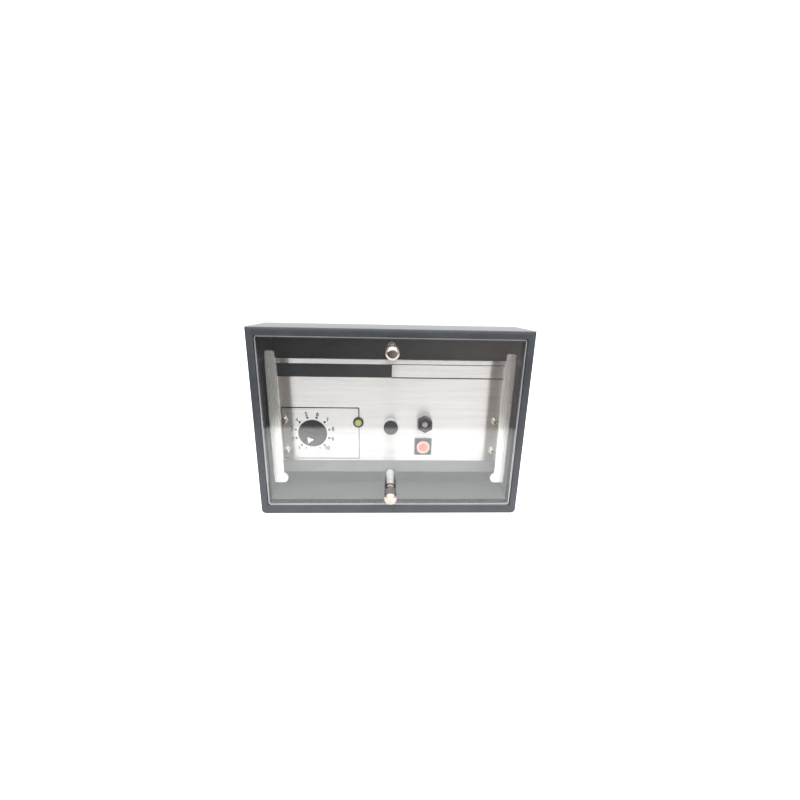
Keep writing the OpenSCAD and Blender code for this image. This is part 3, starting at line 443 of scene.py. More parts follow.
def glossy_skin(material):
    """Adds the thin smooth skin of a moulding, which mirrors most at grazing angles."""
    shader = material.node_tree.nodes["Principled BSDF"]
    shader.inputs["Specular IOR Level"].default_value = SKIN_SPECULAR
    shader.inputs["Coat Weight"].default_value = SKIN_WEIGHT
    shader.inputs["Coat Roughness"].default_value = SKIN_ROUGHNESS


def dust_and_top_highlight(material):
    """Pales the faces that look up, as dust and painted highlight: the normal's height, from sloping
    to level, times a noise.
    """
    tree = material.node_tree
    colour = tree.nodes["Principled BSDF"].inputs["Base Color"]
    clean = colour.links[0].from_socket
    facing_up = map_range(tree, axis_of(tree, "Normal", "Z"), (PALE_TOP_SLOPE, 1.0))
    specks = spread(tree, object_noise(tree, PALE_TOP_GRAIN), *PALE_TOP_SHARE)
    amount = calc(tree, "MULTIPLY", facing_up, specks)
    tree.links.new(blend(tree, amount, clean, DUST_AND_HIGHLIGHT), colour)


glossy_skin(FINISHES["bezel_moulding"])
dust_and_top_highlight(FINISHES["bezel_moulding"])
print("bezel coated", SKIN_WEIGHT, "dust from slope", PALE_TOP_SLOPE)

# %% [markdown]
# The clear cover lets light through and mirrors a little. A Fresnel blend of a transparent and a
# mirror shader does both without the slow noise of refracted light, which suits a flat sheet.

# %% Clear cover
COVER_INDEX = 1.82
COVER_TINT = (0.96, 0.97, 0.97, 1)
COVER_ROUGHNESS = 0.015
# Painted glow on the cover's edge, strongest at the bottom.
PAINTED_RIM_GLOW = 0.27
PAINTED_RIM_TINT = (0.92, 0.96, 1.0, 1)


def clear_sheet():
    """Transparent, with a mirror that grows towards grazing angles by Fresnel's law. The index is
    turned over on back faces, because light crosses a flat sheet without total reflection."""
    material, tree, shader = new_finish("cover_clear")
    tree.nodes.remove(shader)
    through = add(tree, "BsdfTransparent", Color=COVER_TINT)
    mirror = add(tree, "BsdfGlossy", Roughness=COVER_ROUGHNESS)
    rear_side = add(tree, "NewGeometry").outputs["Backfacing"]
    index = map_range(tree, rear_side, (0.0, 1.0), (COVER_INDEX, 1 / COVER_INDEX))
    fresnel = add(tree, "Fresnel")
    tree.links.new(index, fresnel.inputs["IOR"])
    sheet = mix_shaders(tree, fresnel.outputs[0], through.outputs[0], mirror.outputs[0])
    tree.links.new(sheet, tree.nodes["Material Output"].inputs["Surface"])
    return material


def painted_edge_glow():
    """Polished edge: grey at the top, with a painted glow that grows paler towards the table."""
    material = finish("cover_edge", (0.13, 0.13, 0.135), (0.19, 0.19, 0.19), (0.25, 0.4),
                      mottle=(0.04, 0.04, 0.04), bump=0.05)
    tree = material.node_tree
    shader = tree.nodes["Principled BSDF"]
    heights = cover_high[2] * MM, cover_low[2] * MM
    glow = map_range(tree, axis_of(tree, "Object", "Z"), heights, (0.0, PAINTED_RIM_GLOW))
    shader.inputs["Emission Color"].default_value = PAINTED_RIM_TINT
    tree.links.new(glow, shader.inputs["Emission Strength"])
    return material


FINISHES["cover_clear"] = clear_sheet()
FINISHES["cover_edge"] = painted_edge_glow()
print("cover made of two shaders")

# %% [markdown]
# The last finishes have a pattern of their own: pale tracks under the board's green lacquer, dark
# bands round the resistors, a lamp lens that glows softly yellow-green, and a target disc that is
# red on its front, paled at its rim by a painted highlight, and black on its back. The inks of the
# panel, the screw heads, the knurls darkened by dirt and painted shade, and the shade in the slots
# complete the set.

# %% Patterned finishes
RESISTOR_TAN, RESISTOR_BROWN = (0.42, 0.28, 0.13, 1), (0.16, 0.04, 0.02, 1)
RESISTOR_CUT = 0.86
TARGET_RIM = (0.5, 0.95)
# Pale rim of the target disc: a painted highlight.
TARGET_RIM_HIGHLIGHT = (0.80, 0.50, 0.46)
TARGET_REAR = (0.015, 0.015, 0.016)


def uneven_gloss(tree, shader, grain, rough):
    """Lets the roughness drift over a range with a noise."""
    tree.links.new(spread(tree, object_noise(tree, grain), *rough), shader.inputs["Roughness"])


def board_laminate():
    """Tracks: a brick pattern of paler green lines over a dark green lacquer."""
    material, tree, shader = new_finish("board_laminate")
    coords = add(tree, "TexCoord")
    brick = add(tree, "TexBrick", Scale=120.0, Mortar_Size=0.035, Color1=(0.010, 0.085, 0.035, 1),
                Color2=(0.012, 0.10, 0.04, 1), Mortar=(0.05, 0.22, 0.09, 1))
    tree.links.new(coords.outputs["Object"], brick.inputs["Vector"])
    tree.links.new(brick.outputs["Color"], shader.inputs["Base Color"])
    uneven_gloss(tree, shader, grain=(1, 1, 1), rough=(0.25, 0.4))
    return material


def resistor_lacquer():
    """Bands across the body: a wave along X, its crests cut to dark bands on a tan lacquer."""
    material, tree, shader = new_finish("resistor_body")
    coords = add(tree, "TexCoord")
    wave = add(tree, "TexWave", Scale=160.0, Distortion=0.0)
    ramp = add(tree, "ValToRGB")
    ramp.color_ramp.interpolation = "CONSTANT"
    ramp.color_ramp.elements[0].color = RESISTOR_TAN
    ramp.color_ramp.elements[1].position = RESISTOR_CUT
    ramp.color_ramp.elements[1].color = RESISTOR_BROWN
    tree.links.new(coords.outputs["Object"], wave.inputs["Vector"])
    tree.links.new(wave.outputs["Fac"], ramp.inputs["Fac"])
    tree.links.new(ramp.outputs["Color"], shader.inputs["Base Color"])
    uneven_gloss(tree, shader, grain=(2, 2, 2), rough=(0.3, 0.45))
    return material


def lamp_lens():
    """Tinted plastic with a soft inner light, its tint mottled by a noise."""
    material = finish("lamp_green", (0.23, 0.25, 0.06), (0.33, 0.35, 0.12), (0.12, 0.25),
                      mottle=(0.6, 0.6, 0.6), bump=0.05)
    shader = material.node_tree.nodes["Principled BSDF"]
    shader.inputs["Emission Color"].default_value = (0.40, 0.44, 0.10, 1)
    shader.inputs["Emission Strength"].default_value = 0.3
    shader.inputs["Coat Weight"].default_value = 0.6
    return material


def target_paint():
    """Front half red, paled towards its rim by the distance from the middle as a painted highlight;
    rear half black.
    """
    material, tree, shader = new_finish("target_red")
    low, high = edges_of("target_disc")
    middle, radius = (low + high) / 2, (high[0] - low[0]) / 2
    coords = add(tree, "TexCoord")
    centred = add(tree, "Mapping", Scale=(1 / (radius * MM), 0, 1 / (radius * MM)),
                  Location=(-middle[0] / radius, 0, -middle[2] / radius))
    away = add(tree, "VectorMath")
    away.operation = "LENGTH"
    tree.links.new(coords.outputs["Object"], centred.inputs["Vector"])
    tree.links.new(centred.outputs["Vector"], away.inputs[0])
    red = two_tones(tree, object_noise(tree, (0.8, 0.8, 0.8)), (0.60, 0.07, 0.06),
                    (0.72, 0.20, 0.18))
    highlighted = blend(tree, map_range(tree, away.outputs["Value"], TARGET_RIM), red, TARGET_RIM_HIGHLIGHT)
    front = calc(tree, "LESS_THAN", axis_of(tree, "Object", "Y"), middle[1] * MM)
    tree.links.new(blend(tree, front, TARGET_REAR, highlighted), shader.inputs["Base Color"])
    uneven_gloss(tree, shader, grain=(3, 3, 3), rough=(0.35, 0.5))
    return material


FINISHES["board_laminate"] = board_laminate()
FINISHES["resistor_body"] = resistor_lacquer()
FINISHES["lamp_green"] = lamp_lens()
FINISHES["target_red"] = target_paint()
FINISHES["panel_ink"] = finish("panel_ink", (0.010, 0.010, 0.011), (0.018, 0.018, 0.019),
                               (0.35, 0.5), grain=(0.3, 3, 6), depth=0.01, specular=DULL)
FINISHES["band_grey"] = finish("band_grey", (0.12, 0.12, 0.125), (0.17, 0.17, 0.175), (0.4, 0.55),
                               grain=(0.3, 3, 6), bump=0.1, depth=0.01)
FINISHES["warm_nickel"] = finish("warm_nickel", (0.60, 0.55, 0.48), (0.72, 0.67, 0.60),
                                 (0.16, 0.28), metal=1.0, grain=(1.5, 1.5, 1.5), bump=0.05)
# Knurled band darkened: partly dirt, partly painted shade.
FINISHES["knurl_dirt_and_shade"] = finish("knurl_dirt_and_shade", (0.13, 0.125, 0.12), (0.22, 0.21, 0.20),
                                  (0.25, 0.4), metal=1.0, grain=(4, 4, 4), bump=0.15, depth=0.03)
FINISHES["slot_shade"] = finish("slot_shade", (0.02, 0.02, 0.02), (0.05, 0.048, 0.045), (0.5, 0.7),
                                grain=(4, 4, 4), bump=0.1)
print("finishes", len(FINISHES))

# %% [markdown]
# Each CAD node names its slot in the record, so a single loop gives all of them their finishes. The
# standoffs and the reset bushing are brighter than the other plated pieces.

# %% Finishes on the CAD nodes
for part in frame["record"]["subparts"]:
    mesh = nodes[part["node"]].data
    mesh.materials.clear()
    mesh.materials.append(FINISHES[part["material_slot"]])
for node in ("standoff_top", "standoff_bottom", "reset_bushing"):
    nodes[node].data.materials[0] = FINISHES["bright_pillar"]

# %% [markdown]
# New pieces are grids of points. Three families cover them all: a loft, where closed rings follow
# one another; a lathe, where one profile turns about an axis that runs front to rear; and a sweep,
# where a small profile follows a path. Every grid closes on itself, so every piece is watertight.

# %% Surface helpers
ROUND, SMALL_ROUND = 96, 48
WELD = 1e-7


def grid_faces(rows, columns, close_rows=False):
    """Quads between neighbouring rows of a grid whose columns close on themselves."""
    last = rows if close_rows else rows - 1
    r, c = np.meshgrid(np.arange(last), np.arange(columns), indexing="ij")
    below, beside = (r + 1) % rows, (c + 1) % columns
    quads = np.stack([r * columns + c, r * columns + beside, below * columns + beside,
                      below * columns + c], axis=-1)
    return quads.reshape(-1, 4)


def piece(name, grids, body, slot, look=None, replaces=(), close_rows=False, sharp=35.0):
    """One mesh object from one or more grids of millimetre points, welded and facing outwards."""
    points, faces, start = [], [], 0
    for grid in grids:
        rows, columns = grid.shape[:2]
        points.append(grid.reshape(-1, 3))
        faces.append(grid_faces(rows, columns, close_rows) + start)
        start += rows * columns
    mesh = bpy.data.meshes.new(name)
    mesh.from_pydata((np.concatenate(points) * MM).tolist(), [], np.concatenate(faces).tolist())
    shape = bmesh.new()
    shape.from_mesh(mesh)
    bmesh.ops.remove_doubles(shape, verts=shape.verts, dist=WELD)
    bmesh.ops.dissolve_degenerate(shape, edges=shape.edges, dist=WELD)
    bmesh.ops.recalc_face_normals(shape, faces=shape.faces)
    shape.to_mesh(mesh)
    shape.free()
    mesh.polygons.foreach_set("use_smooth", np.ones(len(mesh.polygons), bool))
    mesh.set_sharp_from_angle(angle=math.radians(sharp))
    made = new_object(name, mesh)
    mesh.materials.append(FINISHES[look or slot])
    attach(made, body)
    if replaces:
        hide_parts(*replaces)
    return made


def lathe(profile, centre, count=ROUND, turn=0.0, ripple=None):
    """Turns (radius, depth) points about the depth axis through (x, z): radius times cosine goes
    along X, radius times sine along Z. A ripple scales the radius by depth and angle."""
    profile = np.asarray(profile, float)
    angle = turn + np.linspace(0, 2 * np.pi, count, endpoint=False)
    radius = np.repeat(profile[:, :1], count, axis=1)
    if ripple is not None:
        radius = radius * ripple(profile[:, 1:2], angle[None])
    return np.stack([centre[0] + radius * np.cos(angle),
                     np.repeat(profile[:, 1:2], count, axis=1),
                     centre[1] + radius * np.sin(angle)], axis=-1)


def sweep(path, profile, up=(0, 1, 0)):
    """Carries a flat profile along a path: its first axis lies across the path, which is the cross
    product of the path's gradient and up, and its second along up. Each end closes in a point."""
    path = np.asarray(path, float)
    way = np.gradient(path, axis=0)
    way = way / np.linalg.norm(way, axis=1, keepdims=True)
    across = np.cross(way, np.asarray(up, float))
    across = across / np.linalg.norm(across, axis=1, keepdims=True)
    over = np.cross(across, way)
    profile = np.asarray(profile, float)
    rings = (path[:, None] + profile[None, :, :1] * across[:, None]
             + profile[None, :, 1:] * over[:, None])
    ends = [np.repeat(path[i:i + 1, None], len(profile), axis=1) for i in (0, -1)]
    return np.concatenate([ends[0], rings, ends[1]])


def frame_ring(width, height, depth, radius, centre_z=0.0, top_radius=None, per_corner=10):
    """One rounded rectangle at a depth: four quarter circles joined by straight runs. The two upper
    corners may have a radius of their own."""
    angle = np.linspace(0, np.pi / 2, per_corner)
    quarters = np.arange(4)[:, None]
    turn_by = angle + quarters * np.pi / 2
    side_x, side_z = np.array([[1], [-1], [-1], [1]]), np.array([[1], [1], [-1], [-1]])
    r = np.where(side_z > 0, radius if top_radius is None else top_radius, radius)
    x = side_x * (width / 2 - r) + r * np.cos(turn_by)
    z = side_z * (height / 2 - r) + r * np.sin(turn_by) + centre_z
    return np.stack([x, np.full_like(x, depth), z], axis=-1).reshape(-1, 3)


def oblong(half_across, half_over):
    """Corners of a rectangle about the origin, a profile for a sweep."""
    return np.array([(-1, -1), (1, -1), (1, 1), (-1, 1)]) * (half_across, half_over)


def slab(low, high):
    """A thin box as a sweep: a path along X with a rectangle of the box's depth and height."""
    low, high = np.minimum(low, high), np.maximum(low, high)
    middle, half = (low + high) / 2, (high - low) / 2
    path = [(low[0], middle[1], middle[2]), (high[0], middle[1], middle[2])]
    return sweep(path, oblong(half[2], half[1]))


print("surface helpers ready")

# %% [markdown]
# The bezel is one moulding: a deep frame whose edges are softly rounded. Lofting rounded
# rectangles from its back, over the front and down into the well gives the whole piece, with the
# soft edges that catch the light, which a boxy solid can't show. A narrow bevel leads down to the
# clear cover.

# %% Bezel
BEZEL_W, BEZEL_H = bezel_high[0] * 2, bezel_high[2] * 2
COVER_W, COVER_H = cover_high[0] * 2, cover_high[2] - cover_low[2]
COVER_Z = (cover_high[2] + cover_low[2]) / 2
COVER_Y = cover_low[1]
COVER_GAP = 0.4
CAVITY_W, CAVITY_H = COVER_W + 2 * COVER_GAP, COVER_H + 2 * COVER_GAP
CAVITY_R = 1.5
LOW_CORNER, TOP_CORNER = 3.0, 0.8
LEDGE_H = 2.0
LEDGE_Y = edges_of("cover_gasket")[1][1]
WEB_Y = -3.95
shell_low, shell_high = edges_of("case_shell")
COLLAR_END = bezel_high[1]
SHELL_T, SHELL_GAP, COLLAR_T, FREE = 1.8, 0.15, 2.0, 0.3
COLLAR_W, COLLAR_H = (2 * (shell_high[i] - SHELL_T - SHELL_GAP) for i in (0, 2))
REBATE_W, REBATE_H = (2 * (shell_high[i] + FREE) for i in (0, 2))
REBATE_Y = shell_low[1] - FREE
MOUTH_R, REBATE_R = 2.0, 2.7
SOFT_EDGE, SOFT_STEPS = 0.6, 5
BEVEL = 0.3


def bezel_rings():
    """Rings in order: outer wall, soft edge, bevel, well, ledge, web, mouth, collar, rebate, back.
    The soft edge is a quarter circle: inset by 1 less the cosine, sunk by 1 less the sine."""
    quarter = np.linspace(0, np.pi / 2, SOFT_STEPS)
    inset = SOFT_EDGE * (1 - np.cos(quarter))
    sink = SOFT_EDGE * (1 - np.sin(quarter))
    rings = [frame_ring(BEZEL_W, BEZEL_H, MOUNT_Y, LOW_CORNER, top_radius=TOP_CORNER)]
    rings += [frame_ring(BEZEL_W - 2 * i, BEZEL_H - 2 * i, FACE_Y + d, LOW_CORNER - i,
                         top_radius=TOP_CORNER - i) for i, d in zip(inset, sink)]
    rings.append(frame_ring(CAVITY_W + 2 * BEVEL, CAVITY_H + 2 * BEVEL, FACE_Y, CAVITY_R, COVER_Z))
    rings.append(frame_ring(CAVITY_W, CAVITY_H, FACE_Y + BEVEL / 2, CAVITY_R, COVER_Z))
    rings.append(frame_ring(CAVITY_W, CAVITY_H, LEDGE_Y, CAVITY_R, COVER_Z))
    rings.append(frame_ring(CAVITY_W, CAVITY_H - 2 * LEDGE_H, LEDGE_Y, CAVITY_R, COVER_Z))
    rings.append(frame_ring(CAVITY_W, CAVITY_H - 2 * LEDGE_H, WEB_Y, CAVITY_R, COVER_Z))
    mouth = COLLAR_W - 2 * COLLAR_T, COLLAR_H - 2 * COLLAR_T
    rings.append(frame_ring(*mouth, WEB_Y, MOUTH_R))
    rings.append(frame_ring(*mouth, COLLAR_END, MOUTH_R))
    rings.append(frame_ring(COLLAR_W, COLLAR_H, COLLAR_END, MOUTH_R))
    rings.append(frame_ring(COLLAR_W, COLLAR_H, REBATE_Y, MOUTH_R))
    rings.append(frame_ring(REBATE_W, REBATE_H, REBATE_Y, REBATE_R))
    rings.append(frame_ring(REBATE_W, REBATE_H, MOUNT_Y, REBATE_R))
    return np.array(rings)


rings = bezel_rings()
piece("bezel_frame", [rings], "case", "bezel_moulding", replaces=("bezel",), close_rows=True)
print("bezel rings", rings.shape)

# %% [markdown]
# The cover's sawn edge is polished to a narrow bevel. A painted glow, paler towards the table,
# stands in for light led through the sheet and shows it as a thin bright line all round. A closed
# band over the sheet's edge draws it.

# %% Bright edge of the cover
EDGE_W, EDGE_T, EDGE_R = 0.6, 0.5, 0.6
EDGE_LIFT = 0.03


def edge_rings():
    """Four rounded rectangles: bevel's inner line, outer line, and the same two just behind."""
    inner = COVER_W - 2 * EDGE_W, COVER_H - 2 * EDGE_W
    outer = COVER_W + 4 * EDGE_LIFT, COVER_H + 4 * EDGE_LIFT
    front, back = COVER_Y - EDGE_LIFT, COVER_Y + EDGE_T
    shapes = [(*inner, front, EDGE_R), (*outer, front, CAVITY_R), (*outer, back, CAVITY_R),
              (*inner, back, EDGE_R)]
    return np.array([frame_ring(*shape, COVER_Z) for shape in shapes])


piece("cover_edge", [edge_rings()], "cover", "cover_clear", look="cover_edge", close_rows=True)
print("cover edge", EDGE_W, "mm wide")

# %% [markdown]
# The panel is printed with plain fields and lines: a black field at the top left, a framed bare
# field beside it, a box round the dial and a dark band along the bottom, whose upper part is
# printed over in grey. Each is a thin layer of ink on the panel's face. The band leaves a hole for
# the standoff.

# %% Printed fields
INK_PROUD, INK_SUNK, GREY_LIFT = 0.05, 0.02, 0.03
INK_FRONT, INK_BACK = PANEL_Y - INK_PROUD, PANEL_Y + INK_SUNK
PANEL_W = panel_high[0] * 2
HEADER = (26.5, 35.6)
HEADER_SPLIT = 0.3
THIN, THICK = 0.5, 0.8
DIAL_BOX = (-75.0, -22.2, -32.8, 4.9)
BAND_TOP, BAND_SPLIT = -34.3, -43.2
BAND_HOLE_R, GREY_GAP_X, GREY_GAP_Z = 3.0, 3.3, 0.8
PRINT_MARGIN, LAMP_LAP = 0.1, 0.3
TINY = 1e-9
lamp_low, lamp_high = edges_of("lamp_holder")
standoff_low, standoff_high = edges_of("standoff_bottom")


def ink(x0, x1, z0, z1):
    """A rectangle of ink between two places across and two heights."""
    return slab(np.array([x0, INK_FRONT, z0]), np.array([x1, INK_BACK, z1]))


def line_x(x0, x1, z, width):
    """A level line of ink."""
    return ink(x0, x1, z - width / 2, z + width / 2)


def line_z(x, z0, z1, width):
    """An upright line of ink."""
    return ink(x - width / 2, x + width / 2, z0, z1)


def holed_field(x0, x1, z0, z1, centre, radius, count=ROUND):
    """A field with a round hole: rays from the hole's centre, from the hole to the rectangle. A
    ray's length is the shorter of its ways to an upright side and to a level one."""
    corners = np.arctan2([z0 - centre[1], z0 - centre[1], z1 - centre[1], z1 - centre[1]],
                         [x0 - centre[0], x1 - centre[0], x1 - centre[0], x0 - centre[0]])
    angle = np.sort(np.concatenate([np.linspace(-np.pi, np.pi, count, endpoint=False), corners]))
    c, s = np.cos(angle), np.sin(angle)
    reach_x = np.where(c > 0, x1 - centre[0], x0 - centre[0]) / np.where(np.abs(c) < TINY, TINY, c)
    reach_z = np.where(s > 0, z1 - centre[1], z0 - centre[1]) / np.where(np.abs(s) < TINY, TINY, s)
    reach = np.minimum(np.abs(reach_x), np.abs(reach_z))
    rings = [(np.full_like(angle, radius), INK_FRONT), (reach, INK_FRONT), (reach, INK_BACK),
             (np.full_like(angle, radius), INK_BACK)]
    return np.array([np.stack([centre[0] + r * c, np.full_like(c, y), centre[1] + r * s], axis=-1)
                     for r, y in rings])


panel_left, panel_right = -PANEL_W / 2 + PRINT_MARGIN, PANEL_W / 2 - PRINT_MARGIN
left, right_x, low_z, top_z = DIAL_BOX
fields = [ink(panel_left, HEADER_SPLIT, *HEADER)]
lines = [line_x(HEADER_SPLIT, panel_right, HEADER[0], THICK),
         line_x(HEADER_SPLIT, panel_right, HEADER[1], THIN),
         line_z(panel_right - THIN, *HEADER, THIN),
         line_x(left, right_x, low_z, THIN), line_x(left, right_x, top_z, THICK),
         line_z(left, low_z, top_z, THIN),
         line_z(right_x, low_z, lamp_low[2] + LAMP_LAP, THIN),
         line_z(right_x, lamp_high[2] - LAMP_LAP, top_z, THICK)]
band = holed_field(panel_left, panel_right, panel_low[2] + PRINT_MARGIN, BAND_TOP,
                   (0, (standoff_low[2] + standoff_high[2]) / 2), BAND_HOLE_R)
grey = [ink(panel_left, -GREY_GAP_X, BAND_SPLIT, BAND_TOP),
        ink(GREY_GAP_X, panel_right, BAND_SPLIT, BAND_TOP),
        ink(-GREY_GAP_X, GREY_GAP_X, standoff_high[2] + GREY_GAP_Z, BAND_TOP)]
for field in grey:
    field[..., 1] -= GREY_LIFT
piece("print_grey", grey, "drawout", "panel_aluminium", look="band_grey")
piece("print_fields", fields, "drawout", "panel_aluminium", look="panel_ink")
piece("print_lines", lines, "drawout", "panel_aluminium", look="panel_ink")
piece("print_band", [band], "drawout", "panel_aluminium", look="panel_ink", close_rows=True)
print("printed", len(fields) + len(grey) + 1, "fields and", len(lines), "lines")

# %% [markdown]
# Round the dial run ten dots, two small end marks and the plain numbers one to ten. A number is
# drawn as a pen would draw it: each stroke is a short path, and a flat nib is swept along it.

# %% Dial scale
dial_low, dial_high = edges_of("dial_disc")
DIAL = (dial_low[[0, 2]] + dial_high[[0, 2]]) / 2
SCALE_TURN = 138.0
SCALE_N = 10
END_TURN = 156.5
DOT_R, DOT_AT = 0.78, 11.94
DOT_SIDES, MARK_SIDES = 24, 3
NUMBER_AT, NUMBER_H, NUMBER_W, NIB = 14.6, 2.5, 1.5, 0.6
FIGURE_STEP = 1.25 * NUMBER_W


def on_scale(turn, radius):
    """Place on the panel at a turn from straight up, clockwise, and a distance from the dial."""
    turn = np.radians(turn)
    return DIAL + radius * np.array([np.sin(turn), np.cos(turn)])


def arc(x, z, rx, rz, start, end, steps=13):
    """Points on an ellipse about (x, z) from one angle to another, in degrees from the right."""
    angle = np.radians(np.linspace(start, end, steps))
    return np.stack([x + rx * np.cos(angle), z + rz * np.sin(angle)], axis=-1)


def joined(*runs):
    """Several runs of points joined to one stroke."""
    return np.concatenate([np.asarray(run, float).reshape(-1, 2) for run in runs])


STROKES = {
    "0": [arc(0.5, 0.5, 0.42, 0.5, 90, 450, 25)],
    "1": [joined((0.25, 0.8), (0.55, 1.0), (0.55, 0.0))],
    "2": [joined(arc(0.5, 0.7, 0.4, 0.3, 170, -35), (0.08, 0.0), (0.92, 0.0))],
    "3": [joined(arc(0.48, 0.76, 0.36, 0.24, 150, -90), arc(0.48, 0.27, 0.42, 0.27, 90, -150))],
    "4": [joined((0.72, 0.0), (0.72, 1.0), (0.05, 0.3), (0.95, 0.3))],
    "5": [joined((0.86, 1.0), (0.2, 1.0), (0.16, 0.56), arc(0.48, 0.32, 0.42, 0.32, 110, -150))],
    "6": [joined((0.72, 1.0), arc(0.5, 0.32, 0.41, 0.32, 150, 510, 25))],
    "7": [joined((0.08, 1.0), (0.92, 1.0), (0.38, 0.0))],
    "8": [arc(0.5, 0.76, 0.35, 0.24, -90, 270, 21), arc(0.5, 0.27, 0.42, 0.27, 90, 450, 21)],
    "9": [joined((0.28, 0.0), arc(0.5, 0.68, 0.41, 0.32, -30, 330, 25))],
}


def pen_strokes(text, centre):
    """Every stroke of a number, its figures side by side about a centre. A stroke's points are
    shares of a figure's width and height."""
    nib = oblong(NIB / 2, (INK_PROUD + INK_SUNK) / 2)
    made = []
    for place, figure in enumerate(text):
        shift = centre[0] + (place - (len(text) - 1) / 2) * FIGURE_STEP - NUMBER_W / 2
        for stroke in STROKES[figure]:
            x = shift + stroke[:, 0] * NUMBER_W
            z = centre[1] + (stroke[:, 1] - 0.5) * NUMBER_H
            path = np.stack([x, np.full_like(x, (INK_FRONT + INK_BACK) / 2), z], axis=-1)
            made.append(sweep(path, nib))
    return made


turns = np.linspace(-SCALE_TURN, SCALE_TURN, SCALE_N)
disc = [(0, INK_FRONT), (DOT_R, INK_FRONT), (DOT_R, INK_BACK), (0, INK_BACK)]
dots = [lathe(disc, on_scale(t, DOT_AT), count=DOT_SIDES) for t in turns]
marks = [lathe(disc, on_scale(t, DOT_AT), count=MARK_SIDES, turn=np.radians(90 - t))
         for t in (-END_TURN, END_TURN)]
numbers = []
for n, t in enumerate(turns):
    numbers += pen_strokes(str(n + 1), on_scale(t, NUMBER_AT))
piece("scale_dots", dots + marks, "drawout", "panel_aluminium", look="panel_ink")
piece("scale_numbers", numbers, "drawout", "panel_aluminium", look="panel_ink")
print("scale", len(dots), "dots", len(numbers), "strokes")

# %% [markdown]
# The two thumbscrews are turned from bar and nickel plated: a barrel with a fine straight knurl
# between two bevels, then a plain shank. The knurl is a ripple of the radius round the barrel. Its
# grooves are darker than the polished face, partly from dirt and partly as painted shade, so the
# knurled band is its own piece.

# %% Thumbscrews
KNURLS = 44
KNURL_STEPS = 8 * KNURLS
KNURL_DEPTH, KNURL_BED, KNURL_LAP = 0.025, 0.25, 0.05
SHANK_R, CLIP_R = 1.7, 1.4
BARREL_EDGE = 0.9
FACE_EDGE, FACE_DROP = 0.5, 0.12
SEAT_LIFT = 1.1
GROOVE_PLAY = 0.05
TIP_BEVEL = 0.6


def knurl(depth, angle):
    """Share of the radius round the barrel, the same at every depth: a wave for each knurl."""
    return 1 - KNURL_DEPTH * (0.5 - 0.5 * np.cos(KNURLS * angle))


def thumbscrew(node, clip):
    """Profile from the face back: bevel, bed of the knurl, bevel, shank, clip's groove, tip. The
    knurled band fills the bed."""
    low, high = edges_of(node)
    clip_low, clip_high = edges_of(clip)
    centre = (low[[0, 2]] + high[[0, 2]]) / 2
    radius, face, tip = (high[0] - low[0]) / 2, low[1], high[1]
    rim, bed = radius - BARREL_EDGE, radius - KNURL_BED
    seat = COVER_Y - SEAT_LIFT
    start, end = face + BARREL_EDGE, seat - BARREL_EDGE
    groove, groove_end = clip_low[1] - GROOVE_PLAY, clip_high[1] + GROOVE_PLAY
    profile = [(0, face), (rim - FACE_EDGE, face), (rim, face + FACE_DROP), (radius, start),
               (bed, start), (bed, end), (radius, end), (rim, seat), (SHANK_R, seat),
               (SHANK_R, groove), (CLIP_R, groove), (CLIP_R, groove_end), (SHANK_R, groove_end),
               (SHANK_R, tip - TIP_BEVEL), (SHANK_R - TIP_BEVEL, tip), (0, tip)]
    inner = bed - KNURL_LAP
    outside = lathe([(radius, start), (radius, end)], centre, count=KNURL_STEPS, ripple=knurl)
    inside = lathe([(inner, end), (inner, start)], centre, count=KNURL_STEPS)
    return lathe(profile, centre), np.concatenate([outside, inside])


for place, node, clip in (("upper", "thumbscrew_top", "clip_top"),
                          ("lower", "thumbscrew_bottom", "clip_bottom")):
    screw, knurled = thumbscrew(node, clip)
    body = place + "_thumbscrew"
    piece("thumbscrew_" + place, [screw], body, "nickel", replaces=(node,))
    piece("thumbscrew_knurl_" + place, [knurled], body, "nickel", look="knurl_dirt_and_shade",
          close_rows=True)
print("thumbscrews knurled", KNURLS)

# %% [markdown]
# The panel's four screws and the sixteen terminal screws have pan heads with a slot. The head is a
# lathe with a softly rounded rim, and the slot is a dark sunk bar across it. The panel's screws come
# first.

# %% Panel screws
RIM_SHARE, RIM_STEPS = 0.45, 6
SLOT_REACH, SLOT_DEPTH, SLOT_PROUD = 0.72, 0.5, 0.015
PANEL_HEAD_R, PANEL_SHANK_R = 2.8, 1.45
PANEL_SLOT_W, PANEL_SLOT_TURN, PANEL_SLOT_STEP = 0.7, 0.5, 1.1


def pan_head(radius, height, base, way, shank, length):
    """Profile of a screw along its axis: flat crown, rim of a quarter circle, seat, shank and tip.
    Way is 1 for a head that looks forwards and -1 for one that looks back."""
    quarter = np.linspace(0, np.pi / 2, RIM_STEPS)
    rim = RIM_SHARE * height
    across = radius - rim + rim * np.sin(quarter)
    along = base - way * (height - rim + rim * np.cos(quarter))
    return [(0, base - way * height), *zip(across, along), (radius, base), (shank, base),
            (shank, base + way * length), (0, base + way * length)]


def slot_bar(centre, radius, top, way, turn, width):
    """A flat bar across a head, turned about its axis, with its outer face just over the crown."""
    reach = SLOT_REACH * radius * np.array([np.cos(turn), np.sin(turn)])
    middle = top + way * (SLOT_DEPTH / 2 - SLOT_PROUD)
    path = [(centre[0] - reach[0], middle, centre[1] - reach[1]),
            (centre[0] + reach[0], middle, centre[1] + reach[1])]
    return sweep(path, oblong(width / 2, SLOT_DEPTH / 2))


